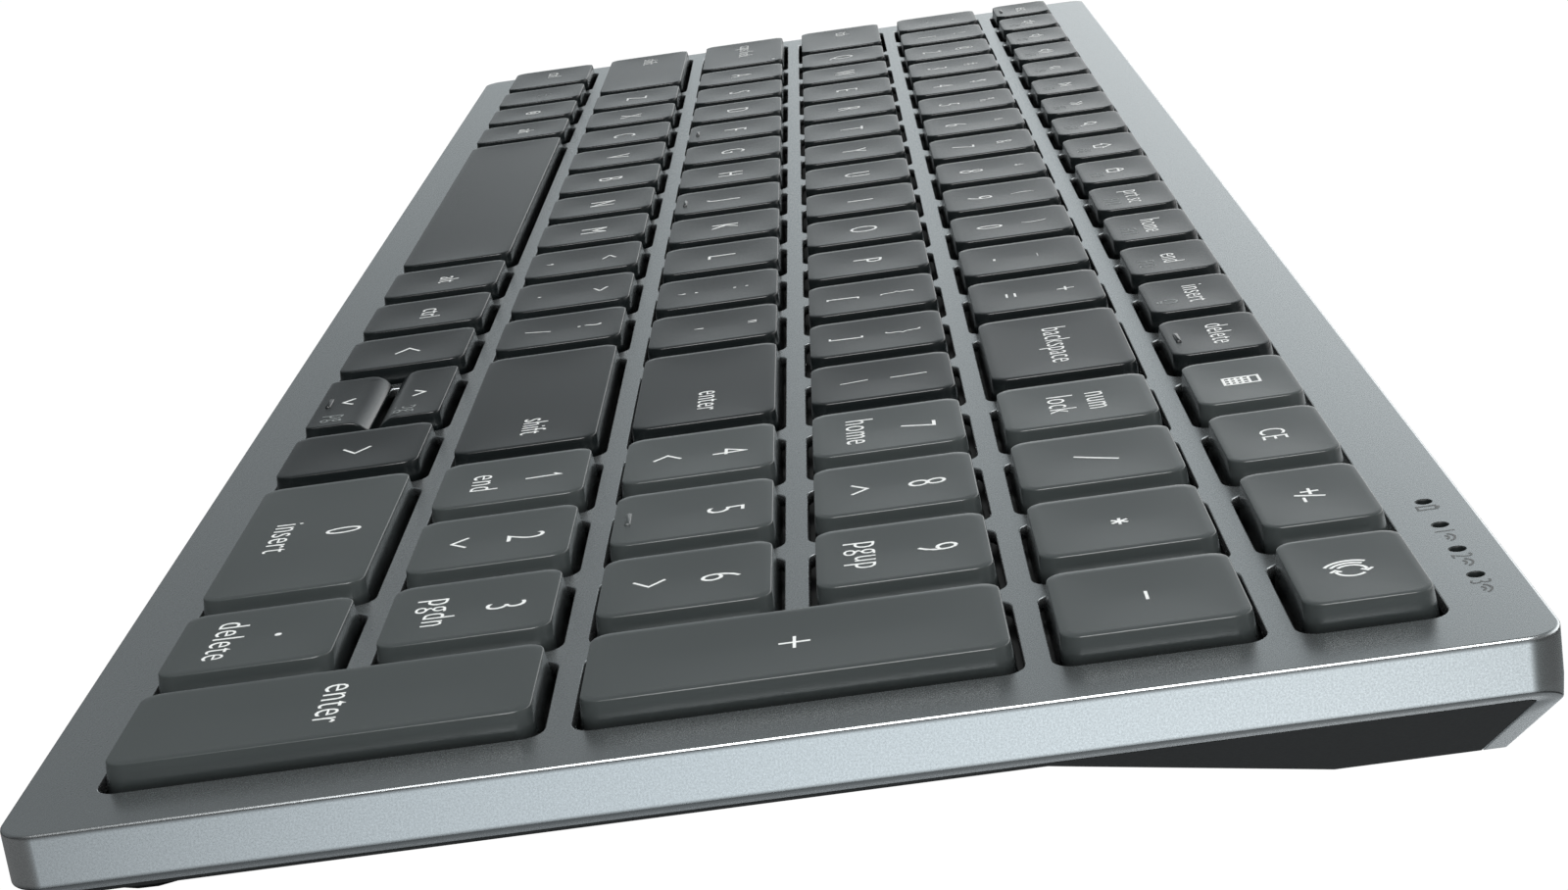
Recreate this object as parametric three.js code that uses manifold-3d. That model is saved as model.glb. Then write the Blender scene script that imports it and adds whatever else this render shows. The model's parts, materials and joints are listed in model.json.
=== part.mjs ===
// Compact wireless keyboard with a numeric keypad block, as an assembly of separate pieces.
//
// Everything is modelled in the deck frame, in millimetres, and tilted onto its feet at the end:
//   x runs right from the left edge of the key field,
//   y runs back from the front edge of the key field,
//   z runs up from the top face of the deck.
import * as THREE from "three";
import { mergeVertices } from "three/addons/utils/BufferGeometryUtils.js";
import Module from "manifold-3d";

const wasm = await Module();
wasm.setup();

// ---- Driving dimensions -------------------------------------------------------------------

// Key field
const UNIT = 19.05; // key pitch, both ways
const FIELD_WIDTH = 18.5 * UNIT;
const FUNCTION_ROW = 5; // row number of the shallow rear row
const FUNCTION_ROW_DEPTH = 14.15;
const FUNCTION_KEY = 14.5 / 15; // width in units of a key in the left part of that row

// Openings and keycaps
const HOLE_INSET = 1.1; // from the cell to the edge of its opening
const HOLE_RADIUS = 1.8;
const CAP_GAP = 0.45; // between a cap and the edge of its opening
const CROWN_INSET = 1.925; // from the cell to the edge of the cap's top
const CAP_RADIUS = 1.7;
const CAP_WALL = 1.1;
const CAP_TOP_Z = 2;
const CAP_CEILING_Z = 0.8;
const CAP_FOOT_Z = -1.75;
const WEB_TOP_Z = -1.4; // hidden web that joins the caps of one row group
const WEB_DEPTH = 6;
const ARROW_GAP = 1; // between the two half-depth arrow keys
const ARROW_SCOOP = 2; // how far their facing edges are rounded off, in y
const ARROW_SCOOP_DROP = 1.1;

// Case
const BORDER = 5.4; // from the key field to the case edge, in front and at the sides
const CASE = { x0: -BORDER, x1: FIELD_WIDTH + BORDER, y0: -BORDER, y1: 115.6 };
const CASE_RADIUS = 3.2;
const CASE_CORNER_STEPS = 5;
const CASE_WALL = 2;
const DECK_THICKNESS = 1.2;
const FACET_TOP_Z = -4.5; // where the upright sides turn into the inclined underside facets
const FACET_RUN = 1.508; // how far a side facet runs inwards for each mm down
const FLOOR_Z = -6.6; // underside of the slim front part
const HUMP_Z = -17.2; // underside of the battery hump
const WEDGE_Y = 75.7; // where the underside starts to drop towards the hump
const WEDGE_SLOPE = 0.438;
const REAR_LEAN = 0.102; // how far the rear wall leans inwards for each mm down
const SEAM = 0.15; // between the top case and the bottom case
const FIT = 0.2; // between pieces that rest on each other

// Bottom case
const LIP_WALL = 0.75;
const LIP_TOP_Z = -1.5;
const FLOOR_TOP_Z = -5.4;
const HUMP_WALL = 1.3;
const HUMP_SIDE_WALL = 2.36; // the same wall measured level, through the inclined side facet
const HUMP_FRONT_WALL = 3.24; // and through the inclined front facet

// Battery bay, in line along x
const CELL_RADIUS = 5.15;
const CELL_BODY = 43.3;
const CELL_NUB = { radius: 2.75, length: 1.2 };
const CELL_AXIS = { y: 106, z: -10.5 };
const CELL_PITCH = CELL_BODY + CELL_NUB.length + FIT;
const BAY_X0 = CASE.x0 / 2 + CASE.x1 / 2 - CELL_PITCH; // flat end of the first cell
const BAY_X1 = BAY_X0 + 2 * CELL_PITCH;
const DOOR_TRAVEL = 6;
const DOOR = { x0: BAY_X0 - 3.5, x1: BAY_X1 + 0.5, y0: 100.75, y1: 110.95 };
const DOOR_THICKNESS = 1.25;
const HOOK = { width: 1.4, length: 2.5, top: -15, under: -15.7 };

// Sheets under the keys, from top to bottom
const SHEET = { x0: -1, x1: FIELD_WIDTH + 1, y0: -1, y1: 109.2 };
const DOME_SHEET_Z = [-4, -3.75];
const MEMBRANE_Z = [-4.4, -4.15];
const PLATE_Z = [-5.05, -4.55];
const DOME = { base: 3, top: 1.7, topZ: -1.4 };

// Board, lights, screws and feet
const BOARD = { x0: 238, x1: 348, y0: 90, y1: 111.9 };
const BOARD_Z = [-7, -6];
const LIGHT_X = [0, 1, 2, 3].map((n) => 17.012 * UNIT + n * 6.35);
const LIGHT_Y = 112;
const LIGHT_HOLE_RADIUS = 0.65;
const LIGHT_PIPE_RADIUS = 0.45;
const SCREW_X = [30, FIELD_WIDTH - 30];
const SCREW_Y = 103.5;
const SCREW_RADIUS = 1;
const SCREW_HEAD_RADIUS = 2;
const BOSS_RADIUS = 3;
const BOSS_TOP_Z = -5.6;
const FRONT_FOOT = { x: [4.7, FIELD_WIDTH - 4.7], y: 3.2, radius: 4, drop: 1.5 };
const REAR_FOOT = { x: SCREW_X, y: 103.9, width: 24, depth: 8, radius: 3, drop: 1.3 };

// Tilt on the feet: the floor is the plane through the middles of the feet
const FLOOR_SLOPE =
  (FLOOR_Z - FRONT_FOOT.drop - (HUMP_Z - REAR_FOOT.drop)) / (REAR_FOOT.y - FRONT_FOOT.y);
const floorZ = (y) => FLOOR_Z - FRONT_FOOT.drop - (y - FRONT_FOOT.y) * FLOOR_SLOPE;

// ---- Materials ----------------------------------------------------------------------------

const finish = (color, roughness, metalness = 0) =>
  new THREE.MeshStandardMaterial({ color, roughness, metalness });
const SILVER_PAINT = finish(0x8e9496, 0.42, 0.75);
const BLACK_PLASTIC = finish(0x1f2323, 0.6);
const DARK_CAP = finish(0x333838, 0.5);
const PAD_CAP = finish(0x565c5c, 0.5);
const RUBBER = finish(0x26292a, 0.9);
const SILICONE = finish(0xc9cccb, 0.6);
const FILM = finish(0xa8b4b2, 0.35);
const STEEL = finish(0xa6a9ab, 0.35, 1);
const CLEAR_PLASTIC = finish(0xdfe6e6, 0.15);
const BOARD_GREEN = finish(0x1d4d35, 0.5);
const CELL_JACKET = finish(0x7d8286, 0.35, 0.6);

// ---- Geometry helpers ---------------------------------------------------------------------

const shrink = (box, by) => ({
  x0: box.x0 + by,
  x1: box.x1 - by,
  y0: box.y0 + by,
  y1: box.y1 - by,
});

// A level ring round a box with rounded corners, anticlockwise seen from above.
function ring(box, z, radius, steps = 1) {
  const corners = [
    [box.x1 - radius, box.y0 + radius, -Math.PI / 2],
    [box.x1 - radius, box.y1 - radius, 0],
    [box.x0 + radius, box.y1 - radius, Math.PI / 2],
    [box.x0 + radius, box.y0 + radius, Math.PI],
  ];
  const points = [];
  for (const [x, y, start] of corners) {
    for (let step = 0; step <= steps; step++) {
      const angle = start + (step / steps) * (Math.PI / 2);
      points.push([x + radius * Math.cos(angle), y + radius * Math.sin(angle), z]);
    }
  }
  return points;
}

// A closed skin through rings with the same number of points. The first ring is closed facing
// down and the last facing up, so rings that go down inside and up outside make a hollow cap.
function loft(rings) {
  const count = rings[0].length;
  const last = (rings.length - 1) * count;
  const index = [];
  for (let start = 0; start < last; start += count) {
    for (let i = 0; i < count; i++) {
      const a = start + i;
      const b = start + ((i + 1) % count);
      index.push(a, b, b + count, a, b + count, a + count);
    }
  }
  for (let i = 1; i < count - 1; i++) {
    index.push(0, i + 1, i, last, last + i, last + i + 1);
  }
  const geometry = new THREE.BufferGeometry();
  geometry.setAttribute("position", new THREE.Float32BufferAttribute(rings.flat(2), 3));
  geometry.setIndex(index);
  return geometry;
}

const slab = (box, [z0, z1], radius, steps) =>
  loft([ring(box, z0, radius, steps), ring(box, z1, radius, steps)]);

function block(box, [z0, z1]) {
  const geometry = new THREE.BoxGeometry(box.x1 - box.x0, box.y1 - box.y0, z1 - z0);
  return geometry.translate((box.x0 + box.x1) / 2, (box.y0 + box.y1) / 2, (z0 + z1) / 2);
}

function post(x, y, [z0, z1], radius, sides = 12) {
  const geometry = new THREE.CylinderGeometry(radius, radius, z1 - z0, sides);
  return geometry.rotateX(Math.PI / 2).translate(x, y, (z0 + z1) / 2);
}

function solid(geometry) {
  const bare = geometry.clone();
  bare.deleteAttribute("normal");
  bare.deleteAttribute("uv");
  const merged = mergeVertices(bare);
  return new wasm.Manifold(
    new wasm.Mesh({
      numProp: 3,
      vertProperties: new Float32Array(merged.attributes.position.array),
      triVerts: new Uint32Array(merged.index.array),
    }),
  );
}

const join = (geometries) => geometries.map(solid).reduce((sum, next) => sum.add(next));

function geometryOf(body) {
  const { vertProperties, triVerts } = body.getMesh();
  const geometry = new THREE.BufferGeometry();
  geometry.setAttribute("position", new THREE.BufferAttribute(vertProperties, 3));
  geometry.setIndex(new THREE.BufferAttribute(triVerts, 1));
  return geometry;
}

const deck = new THREE.Group();

function addPiece(name, shape, material) {
  const geometry = shape.isBufferGeometry ? shape : geometryOf(shape);
  geometry.computeVertexNormals();
  const mesh = new THREE.Mesh(geometry, material);
  mesh.name = name;
  deck.add(mesh);
}

// ---- Key layout ---------------------------------------------------------------------------

// The cells of a run of keys that belong to one node, left to right from a column.
function run(node, row, column, widths, depth = UNIT) {
  let x = column * UNIT;
  return widths.map((width) => {
    const cell = { node, x0: x, x1: x + width * UNIT, y0: row * UNIT, y1: row * UNIT + depth };
    x = cell.x1;
    return cell;
  });
}

const functionRun = (node, start, count) =>
  run(node, FUNCTION_ROW, start * FUNCTION_KEY, Array(count).fill(FUNCTION_KEY), FUNCTION_ROW_DEPTH);

const singles = (count) => Array(count).fill(1);

const MAIN_CELLS = [
  ...run("keys_left_modifiers", 0, 0, [1.25, 1, 1, 1]),
  ...run("key_space", 0, 4.25, [5]),
  ...run("keys_right_modifiers", 0, 9.25, [1, 1]),
  ...run("key_arrow_left", 0, 11.25, [1]),
  ...run("key_arrow_right", 0, 13.5, [1]),
  ...run("key_left_shift", 1, 0, [2.25]),
  ...run("keys_lower_letter_row", 1, 2.25, singles(10)),
  ...run("key_right_shift", 1, 12.25, [2.25]),
  ...run("key_caps_lock", 2, 0, [1.75]),
  ...run("keys_home_row", 2, 1.75, singles(11)),
  ...run("key_enter", 2, 12.75, [1.75]),
  ...run("key_tab", 3, 0, [1.5]),
  ...run("keys_upper_letter_row", 3, 1.5, singles(13)),
  ...run("keys_digit_row", 4, 0, singles(13)),
  ...run("key_backspace", 4, 13, [1.5]),
  ...functionRun("key_escape", 0, 1),
  ...functionRun("keys_function_row", 1, 13),
  ...functionRun("key_delete", 14, 1),
];

const padKey = (name, row, column, width = 1, rows = 1) =>
  run(`key_pad_${name}`, row, column, [width], rows * UNIT);

const padFunctionKey = (name, column) =>
  run(`key_${name}`, FUNCTION_ROW, column, [1], FUNCTION_ROW_DEPTH);

const PAD_CELLS = [
  ...padKey("0", 0, 14.5, 2),
  ...padKey("decimal", 0, 16.5),
  ...padKey("enter", 0, 17.5, 1, 2),
  ...["1", "2", "3"].flatMap((name, n) => padKey(name, 1, 14.5 + n)),
  ...["4", "5", "6"].flatMap((name, n) => padKey(name, 2, 14.5 + n)),
  ...padKey("add", 2, 17.5, 1, 2),
  ...["7", "8", "9"].flatMap((name, n) => padKey(name, 3, 14.5 + n)),
  ...["num_lock", "divide", "multiply", "subtract"].flatMap((name, n) => padKey(name, 4, 14.5 + n)),
  ...["calculator", "clear_entry", "plus_minus", "connect"].flatMap((name, n) =>
    padFunctionKey(name, 14.5 + n),
  ),
];

// One opening that the up and down arrow keys share.
const [ARROW_CELL] = run("arrows", 0, 12.25, [1.25]);

const OPENINGS = [...MAIN_CELLS, ...PAD_CELLS, ARROW_CELL];

// ---- Keys ---------------------------------------------------------------------------------

function cap(cell) {
  const foot = shrink(cell, HOLE_INSET + CAP_GAP);
  const crown = shrink(cell, CROWN_INSET);
  return loft([
    ring(shrink(crown, CAP_WALL), CAP_CEILING_Z, CAP_RADIUS / 2),
    ring(shrink(foot, CAP_WALL), CAP_FOOT_Z, CAP_RADIUS / 2),
    ring(foot, CAP_FOOT_Z, CAP_RADIUS),
    ring(crown, CAP_TOP_Z, CAP_RADIUS),
  ]);
}

// The hidden web from one cap's wall to the next one's.
function web(left, right) {
  const middle = (left.y0 + left.y1) / 2;
  const reach = HOLE_INSET + CAP_GAP + CAP_WALL / 2;
  const span = {
    x0: left.x1 - reach,
    x1: right.x0 + reach,
    y0: middle - WEB_DEPTH / 2,
    y1: middle + WEB_DEPTH / 2,
  };
  return block(span, [CAP_FOOT_Z, WEB_TOP_Z]);
}

function addKeys(cells, material) {
  for (const node of new Set(cells.map((cell) => cell.node))) {
    const own = cells.filter((cell) => cell.node === node);
    if (own.length === 1) {
      addPiece(node, cap(own[0]), material);
    } else {
      const webs = own.slice(1).map((cell, n) => web(own[n], cell));
      addPiece(node, join([...own.map(cap), ...webs]), material);
    }
  }
}

// A half-depth arrow key. Its inner edge, which faces the other one, is cut down.
function arrowCap(isUpper) {
  const foot = shrink(ARROW_CELL, HOLE_INSET + CAP_GAP);
  const crown = shrink(ARROW_CELL, CROWN_INSET);
  const middle = (ARROW_CELL.y0 + ARROW_CELL.y1) / 2;
  const inner = middle + (isUpper ? ARROW_GAP : -ARROW_GAP) / 2;
  const half = (box) => (isUpper ? { ...box, y0: inner } : { ...box, y1: inner });
  const top = half(crown);
  const ridge = isUpper ? { ...top, y0: inner + ARROW_SCOOP } : { ...top, y1: inner - ARROW_SCOOP };
  const shoulder = ring(top, CAP_TOP_Z, CAP_RADIUS / 2).map(([x, y]) => {
    const share = Math.max(0, 1 - Math.abs(y - inner) / ARROW_SCOOP);
    return [x, y, CAP_TOP_Z - 0.1 - share * ARROW_SCOOP_DROP];
  });
  return loft([
    ring(shrink(half(foot), CAP_WALL), CAP_FOOT_Z + 1, CAP_RADIUS / 4),
    ring(shrink(half(foot), CAP_WALL), CAP_FOOT_Z, CAP_RADIUS / 4),
    ring(half(foot), CAP_FOOT_Z, CAP_RADIUS / 2),
    shoulder,
    ring(shrink(ridge, 0.1), CAP_TOP_Z, CAP_RADIUS / 2),
  ]);
}

// A straight six-sided rod between two points.
function rod(from, to, radius) {
  const along = new THREE.Vector3().subVectors(to, from);
  const turn = new THREE.Quaternion().setFromUnitVectors(
    new THREE.Vector3(0, 1, 0),
    along.clone().normalize(),
  );
  const centre = new THREE.Vector3().addVectors(from, to).multiplyScalar(0.5);
  const geometry = new THREE.CylinderGeometry(radius, radius, along.length(), 6);
  return geometry.applyQuaternion(turn).translate(centre.x, centre.y, centre.z);
}

// Steel wire inside the space bar that keeps its long cap level: one bar with two arms.
function stabiliser() {
  const cell = MAIN_CELLS.find(({ node }) => node === "key_space");
  const radius = 0.5;
  const z = CAP_CEILING_Z - FIT - radius;
  const [left, right] = [cell.x0 + UNIT / 2, cell.x1 - UNIT / 2];
  const [front, back] = [cell.y0 + 5, cell.y1 - 4.6];
  const at = (x, y) => new THREE.Vector3(x, y, z);
  return join([
    rod(at(left - radius, back), at(right + radius, back), radius),
    rod(at(left, front), at(left, back), radius),
    rod(at(right, front), at(right, back), radius),
  ]);
}

// ---- Case ---------------------------------------------------------------------------------

const facetInset = (z) => Math.max(0, FACET_TOP_Z - z) * FACET_RUN;
const rearInset = (z) => Math.max(0, FACET_TOP_Z - z) * REAR_LEAN;

// Outline of the hump at a height, moved in by its walls.
const humpOutline = (z, side = 0, front = 0, rear = 0) => ({
  x0: CASE.x0 + facetInset(z) + side,
  x1: CASE.x1 - facetInset(z) - side,
  y0: WEDGE_Y + (FLOOR_Z - z) / WEDGE_SLOPE + front,
  y1: CASE.y1 - rearInset(z) - rear,
});

// The hump, full width at first, then cut at both ends by the planes of the side facets.
function hump() {
  const level = (z) =>
    ring({ ...humpOutline(z), x0: CASE.x0, x1: CASE.x1 }, z, CASE_RADIUS, CASE_CORNER_STEPS);
  const steepness = Math.hypot(1, FACET_RUN);
  const leftPlane = (CASE.x0 + FACET_RUN * FACET_TOP_Z) / steepness;
  const rightPlane = (-CASE.x1 + FACET_RUN * FACET_TOP_Z) / steepness;
  return solid(loft([level(HUMP_Z), level(FACET_TOP_Z)]))
    .trimByPlane([1, 0, FACET_RUN], leftPlane)
    .trimByPlane([-1, 0, FACET_RUN], rightPlane);
}

// The outside of the whole closed case.
function envelope() {
  const slim = loft([
    ring(shrink(CASE, facetInset(FLOOR_Z)), FLOOR_Z, CASE_RADIUS / 2, CASE_CORNER_STEPS),
    ring(CASE, FACET_TOP_Z, CASE_RADIUS, CASE_CORNER_STEPS),
    ring(CASE, 0, CASE_RADIUS, CASE_CORNER_STEPS),
  ]);
  return solid(slim).add(hump());
}

// A plug of the space inside the walls, whose rear face follows the leaning rear wall.
function insidePlug(inset, topZ) {
  const radius = CASE_RADIUS - inset;
  const level = (z) => {
    const box = shrink(CASE, inset);
    return ring({ ...box, y1: box.y1 - rearInset(z) }, z, radius, CASE_CORNER_STEPS);
  };
  return solid(loft([level(HUMP_Z - 1), level(FACET_TOP_Z), level(topZ)]));
}

function topCase() {
  const openings = OPENINGS.map((cell) =>
    slab(shrink(cell, HOLE_INSET), [-DECK_THICKNESS - 1, 1], HOLE_RADIUS),
  );
  const lightHoles = LIGHT_X.map((x) =>
    post(x, LIGHT_Y, [-DECK_THICKNESS - 1, 1], LIGHT_HOLE_RADIUS),
  );
  return envelope()
    .subtract(insidePlug(CASE_WALL, -DECK_THICKNESS))
    .subtract(join([...openings, ...lightHoles]));
}

function bottomCase() {
  const outside = envelope().subtract(solid(block(shrink(CASE, -1), [LIP_TOP_Z, 1])));
  const body = outside.intersect(insidePlug(CASE_WALL + SEAM, LIP_TOP_Z + 1));
  const lip = shrink(CASE, CASE_WALL + SEAM + LIP_WALL);
  const tray = slab(lip, [FLOOR_TOP_Z, 0], CASE_RADIUS - CASE_WALL - SEAM - LIP_WALL, 2);
  const humpLevel = (z) =>
    ring(
      humpOutline(z, HUMP_SIDE_WALL, HUMP_FRONT_WALL, CASE_WALL + SEAM + HUMP_WALL - 0.1),
      z,
      1.5,
      2,
    );
  const pit = loft([humpLevel(HUMP_Z + HUMP_WALL), humpLevel(FLOOR_TOP_Z + 0.4)]);
  return body
    .subtract(join([tray, pit]))
    .add(bayWalls().intersect(body))
    .subtract(bottomCuts());
}

const rootZ = HUMP_Z + 0.4; // inside the floor of the hump, where its walls and bosses start
const pocketEnd = DOOR.x1 + DOOR_TRAVEL + 0.4;

// The walls at both ends of the battery bay, and the two screw bosses.
function bayWalls() {
  const across = { y0: CELL_AXIS.y - 9, y1: CELL_AXIS.y + 6.5 }; // into the hump's own walls
  const springWall = { x0: BAY_X0 - 8.3, x1: BAY_X0 - 6.7, ...across };
  const pocketWall = { x0: BAY_X1 + 0.9, x1: pocketEnd + 1.5, ...across };
  const bosses = SCREW_X.map((x) => post(x, SCREW_Y, [rootZ, BOSS_TOP_Z], BOSS_RADIUS));
  const height = [rootZ, CELL_AXIS.z + 3];
  return join([block(springWall, height), block(pocketWall, height), ...bosses]);
}

// The battery opening, the pocket that the door slides over, and the screw holes.
function bottomCuts() {
  const opening = shrink(DOOR, -SEAM);
  const pocket = { ...opening, x0: DOOR.x1, x1: pocketEnd };
  const through = [HUMP_Z - 1, HUMP_Z + HUMP_WALL + 0.2];
  const screwHoles = SCREW_X.flatMap((x) => [
    post(x, SCREW_Y, [HUMP_Z - 1, BOSS_TOP_Z + 1], SCREW_RADIUS + FIT),
    post(x, SCREW_Y, [HUMP_Z - 1, HUMP_Z + 2], SCREW_HEAD_RADIUS + FIT + 0.1),
  ]);
  return join([block(opening, through), block(pocket, through), ...screwHoles]);
}

// The door plate with two hooks that reach over the case floor at its spring end.
function batteryDoor() {
  const plateTop = HUMP_Z + DOOR_THICKNESS;
  const hooks = [
    { y0: DOOR.y0, y1: DOOR.y0 + HOOK.width },
    { y0: DOOR.y1 - HOOK.width, y1: DOOR.y1 },
  ];
  const hookBlocks = hooks.flatMap((side) => [
    block({ ...side, x0: DOOR.x0, x1: DOOR.x0 + 1.5 }, [plateTop - 0.5, HOOK.top]),
    block({ ...side, x0: DOOR.x0 - HOOK.length, x1: DOOR.x0 + 1.5 }, [HOOK.under, HOOK.top]),
  ]);
  return join([block(DOOR, [HUMP_Z, plateTop]), ...hookBlocks]);
}

// ---- Inside -------------------------------------------------------------------------------

function batteryCell(flatEndX) {
  const profile = [
    [0, 0],
    [CELL_RADIUS - 0.4, 0],
    [CELL_RADIUS, 0.4],
    [CELL_RADIUS, CELL_BODY - 0.6],
    [CELL_RADIUS - 0.6, CELL_BODY],
    [CELL_NUB.radius, CELL_BODY],
    [CELL_NUB.radius, CELL_BODY + CELL_NUB.length],
    [0, CELL_BODY + CELL_NUB.length],
  ].map(([radius, along]) => new THREE.Vector2(radius, along));
  const geometry = new THREE.LatheGeometry(profile, 16);
  return geometry.rotateZ(-Math.PI / 2).translate(flatEndX, CELL_AXIS.y, CELL_AXIS.z);
}

class Helix extends THREE.Curve {
  constructor(start, end, radius, turns) {
    super();
    Object.assign(this, { start, end, radius, turns });
  }

  getPoint(t, target = new THREE.Vector3()) {
    const angle = 2 * Math.PI * this.turns * t;
    const y = CELL_AXIS.y + this.radius * Math.cos(angle);
    const z = CELL_AXIS.z + this.radius * Math.sin(angle);
    return target.set(THREE.MathUtils.lerp(this.start, this.end, t), y, z);
  }
}

// A coil on a small plate, which presses on the flat end of the first cell.
function batterySpring() {
  const plate = { x0: BAY_X0 - 6.5, x1: BAY_X0 - 6, y0: CELL_AXIS.y - 4.5, y1: CELL_AXIS.y + 4.5 };
  const wire = new THREE.Shape().absarc(0, 0, 0.4, 0, 2 * Math.PI);
  const extrudePath = new Helix(plate.x1 - 0.2, BAY_X0 - 0.7, 3.2, 3);
  const coil = new THREE.ExtrudeGeometry(wire, { extrudePath, steps: 36, curveSegments: 3 });
  return join([block(plate, [CELL_AXIS.z - 4.2, CELL_AXIS.z + 4.2]), coil]);
}

// The flat contact for the nub of the second cell.
function batteryPlate() {
  const plate = { x0: BAY_X1 + 0.1, x1: BAY_X1 + 0.6, y0: CELL_AXIS.y - 4.5, y1: CELL_AXIS.y + 4.5 };
  return block(plate, [CELL_AXIS.z - 4.2, CELL_AXIS.z + 4.2]);
}

function dome(cell) {
  const x = (cell.x0 + cell.x1) / 2;
  const y = (cell.y0 + cell.y1) / 2;
  const height = DOME.topZ - DOME_SHEET_Z[0];
  const geometry = new THREE.CylinderGeometry(DOME.top, DOME.base, height - 0.05, 6);
  return geometry.rotateX(Math.PI / 2).translate(x, y, DOME_SHEET_Z[0] + 0.05 + height / 2);
}

// One dome for each key. The two arrow keys press one each.
function domeSheet() {
  const middle = (ARROW_CELL.y0 + ARROW_CELL.y1) / 2;
  const arrowHalves = [
    { ...ARROW_CELL, y1: middle },
    { ...ARROW_CELL, y0: middle },
  ];
  const smallDomes = arrowHalves.map((half) => {
    const x = (half.x0 + half.x1) / 2;
    const y = (half.y0 + half.y1) / 2;
    return post(x, y, [DOME_SHEET_Z[0] + 0.05, CAP_FOOT_Z - 1], DOME.top, 6);
  });
  const domes = [...MAIN_CELLS, ...PAD_CELLS].map(dome);
  return join([block(SHEET, DOME_SHEET_Z), ...domes, ...smallDomes]);
}

// The contact film, with the tail that drops to the board behind the support plate.
function contactMembrane() {
  const tail = { x0: 250, x1: 266, y0: SHEET.y1 - 1, y1: SHEET.y1 + 0.8 };
  const drop = { ...tail, y0: tail.y1 - 0.25 };
  return join([
    block(SHEET, MEMBRANE_Z),
    block(tail, MEMBRANE_Z),
    block(drop, [BOARD_Z[1] + FIT, MEMBRANE_Z[1]]),
  ]);
}

function supportPlate() {
  const holes = SCREW_X.map((x) => post(x, SCREW_Y, [PLATE_Z[0] - 1, PLATE_Z[1] + 1], 1.3));
  return solid(block(SHEET, PLATE_Z)).subtract(join(holes));
}

// The board with its radio chip, connector and four status LEDs.
function mainBoard() {
  const [under, top] = BOARD_Z;
  const bossHole = post(SCREW_X[1], SCREW_Y, [under - 1, top + 1], BOSS_RADIUS + 0.5);
  const chip = { x0: 268, x1: 278, y0: 96, y1: 106 };
  const connector = { x0: 248, x1: 268, y0: 92, y1: 95 };
  const shield = { x0: 290, x1: 308, y0: 94, y1: 107 };
  const lights = LIGHT_X.map((x) =>
    block({ x0: x - 0.8, x1: x + 0.8, y0: 111, y1: 111.8 }, [top - 0.2, top + 0.6]),
  );
  return join([
    block(BOARD, BOARD_Z),
    block(chip, [under - 1.2, under + 0.2]),
    block(connector, [under - 2, under + 0.2]),
    block(shield, [under - 1.8, under + 0.2]),
    ...lights,
  ]).subtract(solid(bossHole));
}

function lightGuide() {
  const bar = { x0: LIGHT_X[0] - 1.5, x1: LIGHT_X[3] + 1.5, y0: LIGHT_Y - 1.4, y1: LIGHT_Y + 0.1 };
  const pipes = LIGHT_X.map((x) => post(x, LIGHT_Y, [-4.9, -0.4], LIGHT_PIPE_RADIUS, 8));
  return join([block(bar, [-2.6, -1.5]), ...pipes]);
}

function caseScrew(x) {
  const [headZ, neckZ, tipZ] = [HUMP_Z + 0.4, HUMP_Z + 1.8, PLATE_Z[1] - 0.1];
  const profile = [
    [0, headZ],
    [SCREW_HEAD_RADIUS - 0.3, headZ],
    [SCREW_HEAD_RADIUS, headZ + 0.3],
    [SCREW_HEAD_RADIUS, neckZ],
    [SCREW_RADIUS, neckZ],
    [SCREW_RADIUS, tipZ - 0.6],
    [0.5, tipZ],
    [0, tipZ],
  ].map(([radius, along]) => new THREE.Vector2(radius, along));
  const geometry = new THREE.LatheGeometry(profile, 12);
  return geometry.rotateX(Math.PI / 2).translate(x, SCREW_Y, 0);
}

// ---- Feet ---------------------------------------------------------------------------------

// A rubber foot whose underside lies on the floor plane.
function foot(outline, topZ) {
  const bottom = outline.map(([x, y]) => [x, y, floorZ(y)]);
  const top = outline.map(([x, y]) => [x, y, topZ]);
  return loft([bottom, top]);
}

function frontFoot(x) {
  const { y, radius } = FRONT_FOOT;
  const box = { x0: x - radius, x1: x + radius, y0: y - radius, y1: y + radius };
  return foot(ring(box, 0, radius * 0.99, 4), FLOOR_Z - FIT);
}

function rearFoot(x) {
  const { y, width, depth, radius } = REAR_FOOT;
  const box = { x0: x - width / 2, x1: x + width / 2, y0: y - depth / 2, y1: y + depth / 2 };
  return foot(ring(box, 0, radius, 3), HUMP_Z - FIT);
}

// ---- Assembly -----------------------------------------------------------------------------

addPiece("top_case", topCase(), SILVER_PAINT);
addPiece("bottom_case", bottomCase(), BLACK_PLASTIC);
addPiece("battery_door", batteryDoor(), BLACK_PLASTIC);
addKeys(MAIN_CELLS, DARK_CAP);
addKeys(PAD_CELLS, PAD_CAP);
addPiece("key_arrow_up", arrowCap(true), DARK_CAP);
addPiece("key_arrow_down", arrowCap(false), DARK_CAP);
addPiece("space_bar_stabiliser", stabiliser(), STEEL);
addPiece("dome_sheet", domeSheet(), SILICONE);
addPiece("contact_membrane", contactMembrane(), FILM);
addPiece("support_plate", supportPlate(), STEEL);
addPiece("main_board", mainBoard(), BOARD_GREEN);
addPiece("light_guide", lightGuide(), CLEAR_PLASTIC);
addPiece("battery_left", batteryCell(BAY_X0), CELL_JACKET);
addPiece("battery_right", batteryCell(BAY_X0 + CELL_PITCH), CELL_JACKET);
addPiece("battery_spring_contact", batterySpring(), STEEL);
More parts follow.
